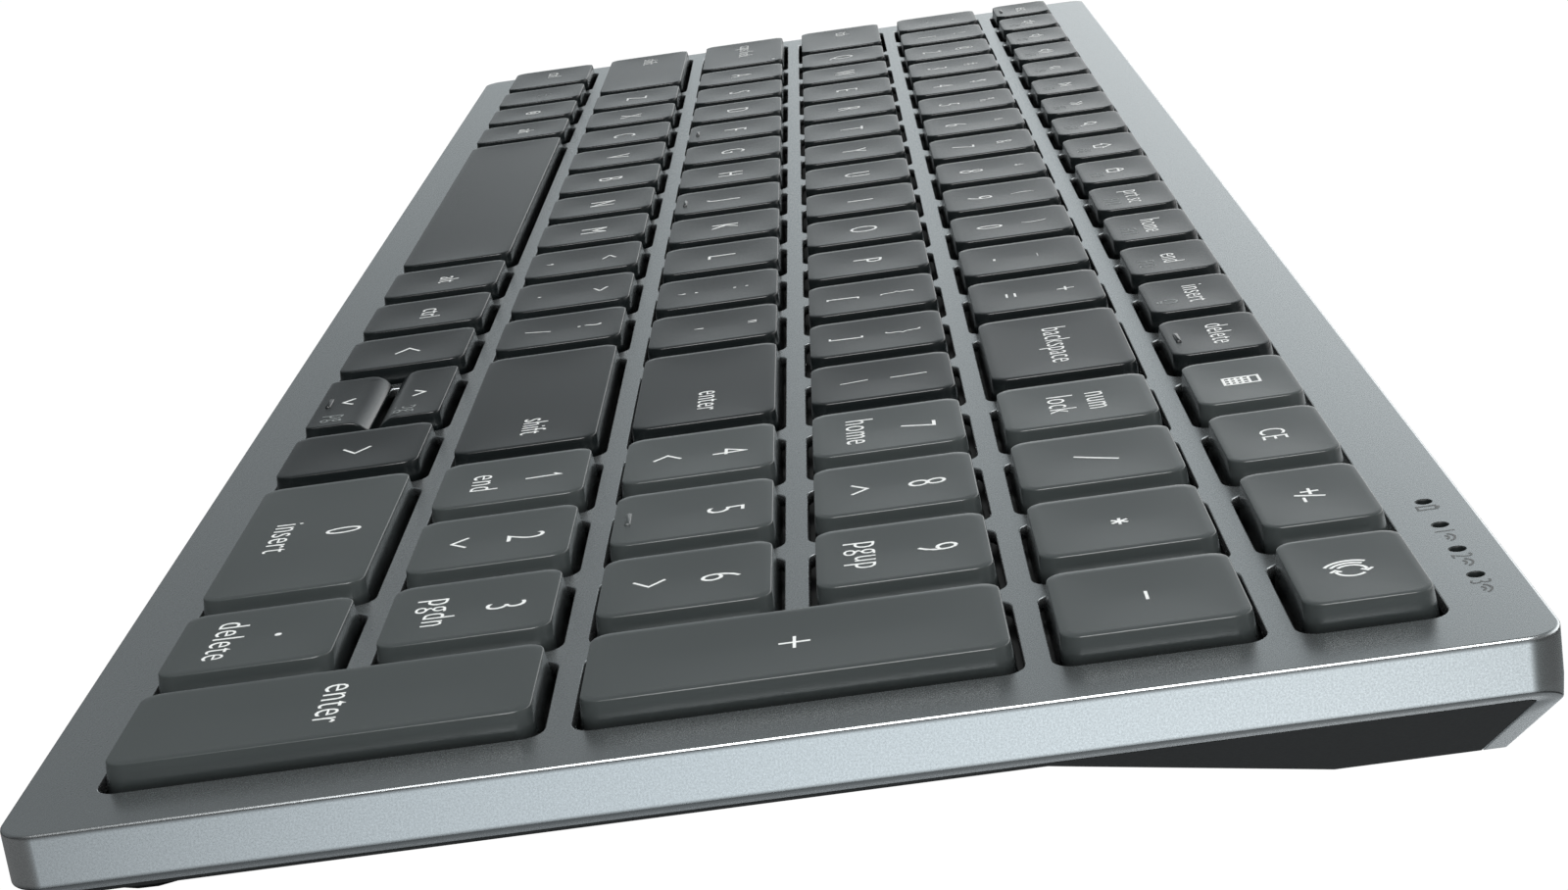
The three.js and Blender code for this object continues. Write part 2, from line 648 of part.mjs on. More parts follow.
addPiece("battery_plate_contact", batteryPlate(), STEEL);
["left", "right"].forEach((side, n) => {
  addPiece(`case_screw_${side}`, caseScrew(SCREW_X[n]), STEEL);
  addPiece(`foot_front_${side}`, frontFoot(FRONT_FOOT.x[n]), RUBBER);
  addPiece(`foot_rear_${side}`, rearFoot(REAR_FOOT.x[n]), RUBBER);
});

// Tilt the keyboard back onto its feet and put the origin under the middle of its box.
deck.rotation.x = Math.atan(FLOOR_SLOPE);
deck.updateMatrixWorld(true);
const bounds = new THREE.Box3().setFromObject(deck, true);
const middle = bounds.getCenter(new THREE.Vector3());
deck.position.set(-middle.x, -middle.y, -bounds.min.z);

const group = new THREE.Group();
group.add(deck);

export default group;
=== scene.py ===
"""Compact wireless keyboard with a numeric keypad block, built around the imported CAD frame.

Shapes are made in the deck frame, in millimetres: x runs right from the left edge of the key
field, y runs back from its front edge, and z runs up from the top face of the deck. They are
then moved into the row frame in metres.
"""
import json
import math

import bpy
from mathutils import Matrix, Vector
from mathutils.geometry import tessellate_polygon


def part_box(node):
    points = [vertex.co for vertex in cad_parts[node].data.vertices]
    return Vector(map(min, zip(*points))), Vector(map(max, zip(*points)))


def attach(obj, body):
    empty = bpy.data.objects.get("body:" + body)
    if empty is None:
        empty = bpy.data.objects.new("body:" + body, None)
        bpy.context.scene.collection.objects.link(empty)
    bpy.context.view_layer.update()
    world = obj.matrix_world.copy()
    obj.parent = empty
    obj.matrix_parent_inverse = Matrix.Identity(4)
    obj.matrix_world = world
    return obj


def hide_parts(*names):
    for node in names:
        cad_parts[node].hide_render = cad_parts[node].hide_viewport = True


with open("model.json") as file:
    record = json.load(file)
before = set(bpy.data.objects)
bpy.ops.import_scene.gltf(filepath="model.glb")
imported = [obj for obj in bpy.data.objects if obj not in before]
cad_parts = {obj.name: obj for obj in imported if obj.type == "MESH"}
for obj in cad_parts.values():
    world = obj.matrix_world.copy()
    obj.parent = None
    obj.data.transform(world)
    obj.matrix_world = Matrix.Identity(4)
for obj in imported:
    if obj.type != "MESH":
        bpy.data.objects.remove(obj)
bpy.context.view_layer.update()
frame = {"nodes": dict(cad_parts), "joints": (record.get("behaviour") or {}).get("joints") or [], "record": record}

# ---- Driving dimensions, the same as in part.mjs -------------------------------------------

UNIT = 19.05  # key pitch, both ways
FIELD_WIDTH = 18.5 * UNIT
FUNCTION_ROW = 5
FUNCTION_ROW_DEPTH = 14.15
FUNCTION_KEY = 14.5 / 15  # width in units
PAD_COLUMN = 14.5  # units from the left edge of the field to the numeric block

HOLE_INSET = 1.1
HOLE_RADIUS = 1.8
CAP_GAP = 0.45
CROWN_INSET = 1.925
CAP_RADIUS = 1.7
CAP_WALL = 1.1
CAP_TOP_Z = 2.0
CAP_CEILING_Z = 0.8
CAP_FOOT_Z = -1.75
WEB_TOP_Z = -1.4
WEB_DEPTH = 6.0
WEB_RADIUS = 0.2
ARROW_GAP = 1.0

CASE = (-5.4, FIELD_WIDTH + 5.4, -5.4, 115.6)  # x0, x1, y0, y1
CASE_RADIUS = 3.2
CASE_WALL = 2.0
DECK_THICKNESS = 1.2
FACET_TOP_Z = -4.5
FACET_RUN = 1.508
HUMP_Z = -17.2
REAR_LEAN = 0.102

LIGHT_COLUMN = 17.012  # units
LIGHT_PITCH = 6.35
LIGHT_X = [LIGHT_COLUMN * UNIT + n * LIGHT_PITCH for n in range(4)]
LIGHT_Y = 112.0
LIGHT_HOLE_RADIUS = 0.65

# ---- Finer shape that only the visual model has --------------------------------------------

CORNER_STEPS = 6
CASE_CORNER_STEPS = 10
SIDE_STEP = 4.5  # longest straight piece of a cap outline
SCOOP_STEPS = 8  # pieces of the side that runs down into a scooped edge
EDGE_FILLET = 0.25  # round the top of the case
HOLE_FILLET = 0.12
CAP_FILLET = 0.14
FILLET_ANGLES = (30, 60, 90)
HOLE_ANGLES = (0, 45, 90)
NEAR_EDGE = 0.3  # from a rounded edge to the loop that keeps the wall beside it flat
CAP_DISH = 0.15  # how far the middle of a cap lies under its edge
CROWN_RINGS = (0.12, 0.22, 0.34, 0.48, 0.62, 0.76, 0.9, 1)  # edge at 0, middle at 1
CORNER_SHRINK = 5  # how many times smaller a cap's corner radius gets towards its middle
ARROW_SCOOP = 2.2
ARROW_SCOOP_DROP = 1.3
SCOOP_CLEARANCE = 1.6  # how much lower the ceiling is under a scooped edge
PRINT_HEIGHT = 0.02
PRINT_DEPTH = 0.05
PEN = 0.27  # line width of the drawn legends
BAR_WIDTH = 3.3  # raised bars that fingers feel
BAR_DEPTH = 0.6
BAR_RADIUS = 0.12
BAR_PROFILE = ((0, -0.1), (0.02, 0.06), (0.08, 0.15), (0.16, 0.19))  # (distance in, height)
BAR_END_SHARE = 0.8  # a bar draws in less along y than along x
ROUND_SHARE = 0.999  # keeps the four arcs of a round hole from meeting
RIM_PROFILE = (  # (distance in, height over the facets) round the lower rim of the case
    (0, 0.12),
    (0.03, 0.035),
    (0.12, 0),
    (CASE_WALL - 0.1, 0),
    (CASE_WALL, 0.05),
)
RIM_CLEARANCE = 0.4  # from the top of the facets up to the last level loop

X0, X1, Y0, Y1 = range(4)  # the order of the numbers in a box


# ---- Frame ---------------------------------------------------------------------------------


def deck_matrix():
    """The deck frame's place in the row frame, from the CAD model's own pieces."""
    press = next(j for j in frame["joints"] if j["name"] == "key_space_press")
    tilt = math.atan2(press["axis"][1], -press["axis"][2])
    low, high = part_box("top_case")
    place = Vector(
        (
            low[0] - CASE[X0] / 1000,
            low[1] - CASE[Y0] / 1000 * math.cos(tilt),
            high[2] - CASE[Y1] / 1000 * math.sin(tilt),
        )
    )
    turn = Matrix.Rotation(tilt, 4, "X")
    return Matrix.Translation(place) @ turn @ Matrix.Scale(0.001, 4)


DECK = deck_matrix()


# ---- Outlines ------------------------------------------------------------------------------


def inset(box, by):
    return (box[X0] + by, box[X1] - by, box[Y0] + by, box[Y1] - by)


def middle_of(box):
    return ((box[X0] + box[X1]) / 2, (box[Y0] + box[Y1]) / 2)


def blend(a, b, share):
    return a + (b - a) * share


def outline(box, radius, corner_steps=CORNER_STEPS, side_steps=(1, 1)):
    """Points round a box with rounded corners, anticlockwise from its front right corner.
    side_steps says into how many pieces the sides along y and along x are cut."""
    corners = [
        (box[X1] - radius, box[Y0] + radius, -90),
        (box[X1] - radius, box[Y1] - radius, 0),
        (box[X0] + radius, box[Y1] - radius, 90),
        (box[X0] + radius, box[Y0] + radius, 180),
    ]
    arcs = []
    for x, y, start in corners:
        angles = [math.radians(start + 90 * n / corner_steps) for n in range(corner_steps + 1)]
        arcs.append([(x + radius * math.cos(a), y + radius * math.sin(a)) for a in angles])
    points = []
    for n, arc in enumerate(arcs):
        following = arcs[(n + 1) % 4][0]
        points.extend(arc)
        steps = side_steps[n % 2]
        for step in range(1, steps):
            share = step / steps
            points.append(tuple(blend(arc[-1][k], following[k], share) for k in (0, 1)))
    return points


def at_height(points, z):
    return [(x, y, z) for x, y in points]


# ---- Mesh building -------------------------------------------------------------------------


class Skin:
    """Points in deck millimetres and faces, each with a material number, for one piece."""

    def __init__(self):
        self.points = []
        self.faces = []
        self.looks = []
        self.smooth = []

    def add(self, points):
        start = len(self.points)
        self.points.extend(points)
        return list(range(start, len(self.points)))

    def add_merged(self, points):
        """Like add, but points in the same place become one."""
        known = {}
        for point in points:
            place = tuple(round(value, 4) for value in point)
            if place not in known:
                known[place] = len(self.points)
                self.points.append(point)
        return [known[tuple(round(value, 4) for value in point)] for point in points]

    def face(self, corners, look=0, smooth=True):
        corners = tuple(dict.fromkeys(corners))
        if len(corners) > 2:
            self.faces.append(corners)
            self.looks.append(look)
            self.smooth.append(smooth)

    def bridge(self, lower, upper, look=0):
        """Faces between two closed loops, facing out when both run anticlockwise."""
        count = len(lower)
        for n in range(count):
            m = (n + 1) % count
            self.face((lower[n], lower[m], upper[m], upper[n]), look)

    def loft(self, rings, closes_itself=False):
        """A closed skin through rings of points. The first is closed facing down. The last is
        closed facing up, unless its own points meet along a line."""
        loops = [self.add(ring) for ring in rings[:-1]]
        loops.append(self.add_merged(rings[-1]) if closes_itself else self.add(rings[-1]))
        for lower, upper in zip(loops, loops[1:]):
            self.bridge(lower, upper)
        self.face(reversed(loops[0]))
        if not closes_itself:
            self.face(loops[-1])

    def piece(self, name, materials):
        mesh = bpy.data.meshes.new(name)
        mesh.from_pydata([DECK @ Vector(p) for p in self.points], [], self.faces)
        for material in materials:
            mesh.materials.append(material)
        mesh.polygons.foreach_set("material_index", self.looks)
        mesh.polygons.foreach_set("use_smooth", self.smooth)
        mesh.validate()
        mesh.update()
        obj = bpy.data.objects.new(name, mesh)
        bpy.context.scene.collection.objects.link(obj)
        return obj


# ---- Key layout ----------------------------------------------------------------------------


def run(row, column, widths, depth=UNIT):
    """Cells of a run of keys, left to right from a column."""
    cells = []
    x = column * UNIT
    for width in widths:
        cells.append((x, x + width * UNIT, row * UNIT, row * UNIT + depth))
        x += width * UNIT
    return cells


def function_run(start, count):
    widths = [FUNCTION_KEY] * count
    return run(FUNCTION_ROW, start * FUNCTION_KEY, widths, FUNCTION_ROW_DEPTH)


MAIN_KEYS = {
    "keys_left_modifiers": run(0, 0, [1.25, 1, 1, 1]),
    "key_space": run(0, 4.25, [5]),
    "keys_right_modifiers": run(0, 9.25, [1, 1]),
    "key_arrow_left": run(0, 11.25, [1]),
    "key_arrow_right": run(0, 13.5, [1]),
    "key_left_shift": run(1, 0, [2.25]),
    "keys_lower_letter_row": run(1, 2.25, [1] * 10),
    "key_right_shift": run(1, 12.25, [2.25]),
    "key_caps_lock": run(2, 0, [1.75]),
    "keys_home_row": run(2, 1.75, [1] * 11),
    "key_enter": run(2, 12.75, [1.75]),
    "key_tab": run(3, 0, [1.5]),
    "keys_upper_letter_row": run(3, 1.5, [1] * 13),
    "keys_digit_row": run(4, 0, [1] * 13),
    "key_backspace": run(4, 13, [1.5]),
    "key_escape": function_run(0, 1),
    "keys_function_row": function_run(1, 13),
    "key_delete": function_run(14, 1),
}

PAD_KEYS = {
    "key_pad_0": run(0, PAD_COLUMN, [2]),
    "key_pad_decimal": run(0, 16.5, [1]),
    "key_pad_enter": run(0, 17.5, [1], 2 * UNIT),
    "key_pad_add": run(2, 17.5, [1], 2 * UNIT),
}
for digit in range(1, 10):
    PAD_KEYS[f"key_pad_{digit}"] = run((digit + 2) // 3, PAD_COLUMN + (digit - 1) % 3, [1])
for number, sign in enumerate(("num_lock", "divide", "multiply", "subtract")):
    PAD_KEYS[f"key_pad_{sign}"] = run(4, PAD_COLUMN + number, [1])
for number, use in enumerate(("calculator", "clear_entry", "plus_minus", "connect")):
    PAD_KEYS[f"key_{use}"] = run(FUNCTION_ROW, PAD_COLUMN + number, [1], FUNCTION_ROW_DEPTH)

ARROW_CELL = run(0, 12.25, [1.25])[0]

# ---- Keycaps -------------------------------------------------------------------------------


class Crown:
    """The top of one cap: its outline and the height of its surface."""

    def __init__(self, box, radius=CAP_RADIUS, scooped_edge=None):
        self.box = box
        self.radius = radius
        self.scooped_edge = scooped_edge  # y of the edge that is rounded off, if there is one

    def height(self, x, y):
        """The dish, flat along the edges, less the scoop."""
        x0, x1, y0, y1 = self.box
        u = max(0, 1 - abs(2 * (x - x0) / (x1 - x0) - 1) ** (2 * (x1 - x0) / UNIT))
        v = max(0, 1 - abs(2 * (y - y0) / (y1 - y0) - 1) ** (2 * max(1, (y1 - y0) / UNIT)))
        z = CAP_TOP_Z - CAP_DISH * u * v
        if self.scooped_edge is not None:
            share = max(0, 1 - abs(y - self.scooped_edge) / ARROW_SCOOP)
            z -= ARROW_SCOOP_DROP * share**2
        return z

    def side_steps(self):
        x0, x1, y0, y1 = self.box
        along_y = math.ceil((y1 - y0) / SIDE_STEP)
        if self.scooped_edge is not None:
            along_y = SCOOP_STEPS
        return (along_y, math.ceil((x1 - x0) / SIDE_STEP))

    def ring(self, by, drop=0.0):
        """The outline moved in by a distance, on the surface or a little under it."""
        box = inset(self.box, by)
        room = min(box[X1] - box[X0], box[Y1] - box[Y0]) / 2
        radius = min(room, max(self.radius - by, self.radius / CORNER_SHRINK))
        points = outline(box, radius, side_steps=self.side_steps())
        return [(x, y, self.height(x, y) - drop) for x, y in points]


def cap(skin, foot, crown):
    """One hollow keycap: down inside, up outside, over the rounded edge and across the top."""
    steps = crown.side_steps()
    wall_in = inset(foot, CAP_WALL)
    ceiling = inset(crown.box, CAP_WALL)
    low = CAP_CEILING_Z - (SCOOP_CLEARANCE if crown.scooped_edge is not None else 0)
    rings = [
        at_height(outline(ceiling, CAP_RADIUS / 2, side_steps=steps), low),
        at_height(outline(wall_in, CAP_RADIUS / 2, side_steps=steps), CAP_FOOT_Z),
        at_height(outline(foot, crown.radius, side_steps=steps), CAP_FOOT_Z),
    ]
    edge = crown.ring(0, CAP_FILLET)
    share = 1 - NEAR_EDGE / (CAP_TOP_Z - CAP_FOOT_Z)
    near_edge = [
        tuple(blend(a, b, share) for a, b in zip(low_point, high_point))
        for low_point, high_point in zip(rings[-1], edge)
    ]
    rings += [near_edge, edge]
    for degrees in FILLET_ANGLES:
        angle = math.radians(degrees)
        by = CAP_FILLET * (1 - math.cos(angle))
        rings.append(crown.ring(by, CAP_FILLET * (1 - math.sin(angle))))
    half = min(crown.box[X1] - crown.box[X0], crown.box[Y1] - crown.box[Y0]) / 2
    for share in CROWN_RINGS:
        rings.append(crown.ring(share * half))
    skin.loft(rings, closes_itself=True)


def web(skin, left, right):
    """The hidden web from one cap's wall to the next one's."""
    middle = (left[Y0] + left[Y1]) / 2
    reach = HOLE_INSET + CAP_GAP + CAP_WALL / 2
    box = (left[X1] - reach, right[X0] + reach, middle - WEB_DEPTH / 2, middle + WEB_DEPTH / 2)
    loop = outline(box, WEB_RADIUS, corner_steps=1)
    skin.loft([at_height(loop, CAP_FOOT_Z), at_height(loop, WEB_TOP_Z)])


# ---- Legends -------------------------------------------------------------------------------

LIGHT_PRINT, DIM_PRINT = 1, 2
SIGN_THINNING = 0.014  # how far the font's outlines are drawn in, as a share of its size
WORD_THINNING = 0.009
LETTER_SPACING = 1.1
LETTER_CURVE_STEPS = 3
NARROWING = 0.82
SHARPEST_MITRE = 0.35  # cosine that limits how far a sharp bend reaches out


class Lettering:
    """Flat outlines of words in Blender's own font, made once for each word."""

    def __init__(self):
        self.known = {}
        self.x_height = self.top("x")
        self.cap_height = self.top("H")

    def shape(self, word):
        if word not in self.known:
            curve = bpy.data.curves.new("lettering", "FONT")
            curve.body = word
            curve.offset = -(SIGN_THINNING if len(word) == 1 else WORD_THINNING)
            curve.resolution_u = LETTER_CURVE_STEPS
            curve.space_character = LETTER_SPACING
            holder = bpy.data.objects.new("lettering", curve)
            bpy.context.scene.collection.objects.link(holder)
            graph = bpy.context.evaluated_depsgraph_get()
            mesh = bpy.data.meshes.new_from_object(holder.evaluated_get(graph))
            points = [(v.co.x, v.co.y) for v in mesh.vertices]
            faces = [tuple(p.vertices) for p in mesh.polygons]
            bpy.data.objects.remove(holder)
            bpy.data.meshes.remove(mesh)
            bpy.data.curves.remove(curve)
            self.known[word] = (points, faces)
        return self.known[word]

    def top(self, word):
        return max(y for _, y in self.shape(word)[0])

    def placed(self, word, x, y, height, align="centre"):
        """The word with its x-height, or its cap height, centred on y."""
        points, faces = self.shape(word)
        is_low = word.islower() and len(word) > 1
        scale = height / (self.x_height if is_low else self.cap_height)
        left = min(px for px, _ in points)
        right = max(px for px, _ in points)
        origin = {"left": left, "right": right, "centre": (left + right) / 2}[align]
        across = scale * NARROWING
        base = y - height / 2
        return [(x + (px - origin) * across, base + py * scale) for px, py in points], faces


lettering = Lettering()


def arc(x, y, radius, start, end, steps=10):
    angles = [math.radians(blend(start, end, n / steps)) for n in range(steps + 1)]
    return [(x + radius * math.cos(a), y + radius * math.sin(a)) for a in angles]


def ribbon(line, width=PEN):
    """Flat faces along a line of points, with mitred bends. A closed line ends where it began."""
    closed = line[0] == line[-1]
    dots = line[:-1] if closed else line
    count = len(dots)
    points = []
    for n, (x, y) in enumerate(dots):
        before = dots[n - 1] if n or closed else None
        after = dots[(n + 1) % count] if n < count - 1 or closed else None
        ways = []
        for a, b in ((before, (x, y)), ((x, y), after)):
            if a and b:
                ways.append((Vector(b) - Vector(a)).normalized())
        along = sum(ways, Vector((0, 0))).normalized()
        reach = width / 2 / max(SHARPEST_MITRE, along.dot(ways[0]))
        side = Vector((-along.y, along.x)) * reach
        points += [(x + side.x, y + side.y), (x - side.x, y - side.y)]
    faces = []
    for n in range(count if closed else count - 1):
        m = (n + 1) % count
        faces.append((2 * n, 2 * n + 1, 2 * m + 1, 2 * m))
    return points, faces


def moved(shape, x, y):
    points, faces = shape
    return [(px + x, py + y) for px, py in points], faces


def dot(x, y, radius):
    """A disc with twelve corners."""
    points = arc(x, y, radius, 0, 330, 11)
    return points, [tuple(range(len(points)))]


def print_on(skin, shape, height, look=LIGHT_PRINT):
    """A flat shape as a thin closed layer of print on a surface of that height."""
    points, faces = shape
    top = skin.add([(x, y, height(x, y) + PRINT_HEIGHT) for x, y in points])
    under = skin.add([(x, y, height(x, y) - PRINT_DEPTH) for x, y in points])
    edges = {}
    for face in faces:
        skin.face([top[n] for n in face], look, False)
        skin.face([under[n] for n in reversed(face)], look, False)
        for a, b in zip(face, face[1:] + face[:1]):
            edges[(a, b)] = True
    for a, b in edges:
        if (b, a) not in edges:
            skin.face((under[a], under[b], top[b], top[a]), look, False)


def chevron(width, height):
    """A ">" sign, as a line."""
    return [(-width / 2, height / 2), (width / 2, 0), (-width / 2, -height / 2)]


def turned(line):
    return [(-y, x) for x, y in line]


def flipped(line):
    return [(x, -y) for x, y in line]


def shifted(line, x, y):
    return [(px + x, py + y) for px, py in line]


def box_line(x0, x1, y0, y1):
    return [(x0, y0), (x1, y0), (x1, y1), (x0, y1), (x0, y0)]


SPEAKER = [
    (-2.0, -0.5),
    (-1.3, -0.5),
    (-0.5, -1.1),
    (-0.5, 1.1),
    (-1.3, 0.5),
    (-2.0, 0.5),
    (-2.0, -0.5),
]
HOUSE = [
    (-1.5, 0.1),
    (0, 1.3),
    (1.5, 0.1),
    (0.9, 0.1),
    (0.9, -1.1),
    (-0.9, -1.1),
    (-0.9, 0.1),
    (-1.5, 0.1),
]

ICONS = {  # each icon's lines, mm from its middle
    "mute": [SPEAKER, [(0.4, -0.7), (1.8, 0.7)], [(0.4, 0.7), (1.8, -0.7)]],
    "quieter": [SPEAKER, arc(-0.4, 0, 1.0, -45, 45)],
    "louder": [SPEAKER, arc(-0.4, 0, 1.0, -45, 45), arc(-0.4, 0, 1.8, -45, 45)],
    "back": [
        [(-0.2, 0.9), (-1.2, 0), (-0.2, -0.9)],
        [(1.1, 0.9), (0.1, 0), (1.1, -0.9)],
    ],
    "play": [[(-1.2, 0.9), (0.3, 0), (-1.2, -0.9), (-1.2, 0.9)], [(1.0, 0.9), (1.0, -0.9)]],
    "forward": [
        [(-1.1, 0.9), (-0.1, 0), (-1.1, -0.9)],
        [(0.2, 0.9), (1.2, 0), (0.2, -0.9)],
    ],
    "search": [arc(-0.3, 0.3, 0.85, -45, 315, 16), [(0.3, -0.3), (1.3, -1.3)]],
    "house": [HOUSE],
    "lock": [box_line(-1.0, 1.0, -1.2, 0.3), arc(0, 0.3, 0.65, 0, 180)],
    "ring": [arc(0, 0, 1.25, 0, 360, 20), arc(0, 0, 0.45, 0, 360, 12)],
    "left": [[(1.0, 1.5), (-1.0, 0), (1.0, -1.5)]],
    "right": [[(-1.0, 1.5), (1.0, 0), (-1.0, -1.5)]],
    "calculator": [
        box_line(-1.15, 1.15, -1.75, 1.75),
        *[[(-1.15, y), (1.15, y)] for y in (-1.1, -0.5, 0.1, 0.8)],
        *[[(x, -1.75), (x, 0.8)] for x in (-0.4, 0.4)],
    ],
    "connect": [
        arc(0.6, -0.2, 1.25, 90, 231),
        [(0.5, 1.5), (0.95, 1.05), (0.5, 0.6)],
        arc(0.6, -0.2, 1.25, -90, 48),
        [(0.7, -1.9), (0.25, -1.45), (0.7, -1.0)],
        arc(0.6, -0.2, 1.78, 142, 239),
        arc(0.6, -0.2, 2.3, 142, 239),
    ],
    "one": [[(-0.6, 1.15), (0, 1.75), (0, -1.75)]],
    "plus_minus": [
        [(-1.95, 0.15), (-0.35, 0.15)],
        [(-1.15, 0.95), (-1.15, -0.65)],
        [(-0.46, -1.28), (0.46, 1.28)],
        [(0.4, -0.6), (1.6, -0.6)],
    ],
    "bulb": [
        arc(0, 0.25, 0.8, -50, 230, 14),
        [(-0.5, -0.75), (0.5, -0.75)],
        [(-0.4, -1.15), (0.4, -1.15)],
    ],
    "battery": [box_line(-0.45, 0.45, -0.9, 0.7), [(-0.2, 0.9), (0.2, 0.9)]],
    "waves": [arc(0, -0.5, 0.5, 30, 150, 6), arc(0, -0.5, 1.0, 30, 150, 8)],
}


def word(text, x, y, height, align="centre", look=LIGHT_PRINT):
    return ("word", text, x, y, height, align, look)


def icon(name, x=0.0, y=0.0, look=LIGHT_PRINT):
    return ("icon", name, x, y, look)


def sign(line):
    return ("line", line)


def bar(y):
    return ("bar", y)


def point(x, y, radius):
    return ("dot", x, y, radius)


CAPITAL = 3.7  # heights of the lettering, mm
DIGIT = 3.4
PAD_DIGIT = 3.6
CLEAR_ENTRY = 2.35
FUNCTION_NUMBER = 2.0
PAD_WORD = 1.85
SMALL = 1.75
FUNCTION_WORD = 1.6
SIDE_TEXT = 6.5  # from the cell's end to a word at that end
PAIR_REAR_Y = 3.4  # places on the key, mm from the middle of its cell
PAD_REAR = (0.4, 3.05)
PAD_FRONT_Y = -3.3
NUM_LOCK_Y = 1.95
FUNCTION_NUMBER_AT = (1.9, -2.8)
KEY_LIGHT_AT = (2.5, -2.8)
BAR_Y = -6.2
FUNCTION_BAR_Y = -3.9
LOCK_LIGHT_RADIUS = 0.3
DECIMAL_RADIUS = 0.33


def pair(lower, upper, lower_height=3.0, upper_height=3.0, lower_y=-3.0):
    """A key with one sign at the front and one at the back."""
    return [word(lower, 0, lower_y, lower_height), word(upper, 0, PAIR_REAR_Y, upper_height)]


def end_word(text, units, align):
    """A small word at the left or right end of a key that is that many units wide."""
    reach = units * UNIT / 2 - SIDE_TEXT
    return word(text, reach if align == "right" else -reach, 0, SMALL, align)


def letters(text):
    return [[word(letter, 0, 0, CAPITAL)] for letter in text]


def function_legend(number, main):
    label = word(f"F{number}", *FUNCTION_NUMBER_AT, FUNCTION_NUMBER, "centre", DIM_PRINT)
    return [main, label]


def pad_digit(digit, below):
    return [word(str(digit), *PAD_REAR, PAD_DIGIT), below]


def pad_word(text):
    return word(text, 0, PAD_FRONT_Y, PAD_WORD)


def pad_arrow(line):
    return sign(shifted(line, 0, PAD_FRONT_Y))


UP = turned(chevron(1.5, 2.8))
DOWN = flipped(UP)
ARROW_SIGN = turned(chevron(1.3, 2.4))

HOME_ROW = letters("ASDFGHJKL")
for letter in ("F", "J"):
    HOME_ROW["ASDFGHJKL".index(letter)].append(bar(BAR_Y))

FUNCTION_MAINS = [
    icon("mute"),
    icon("quieter"),
    icon("louder"),
    icon("back"),
    icon("play"),
    icon("forward"),
    icon("search"),
    icon("house"),
    icon("lock"),
    word("prt sc", 0, 0, FUNCTION_WORD),
    word("home", 0, 0, FUNCTION_WORD),
    word("end", 0, 0, FUNCTION_WORD),
]

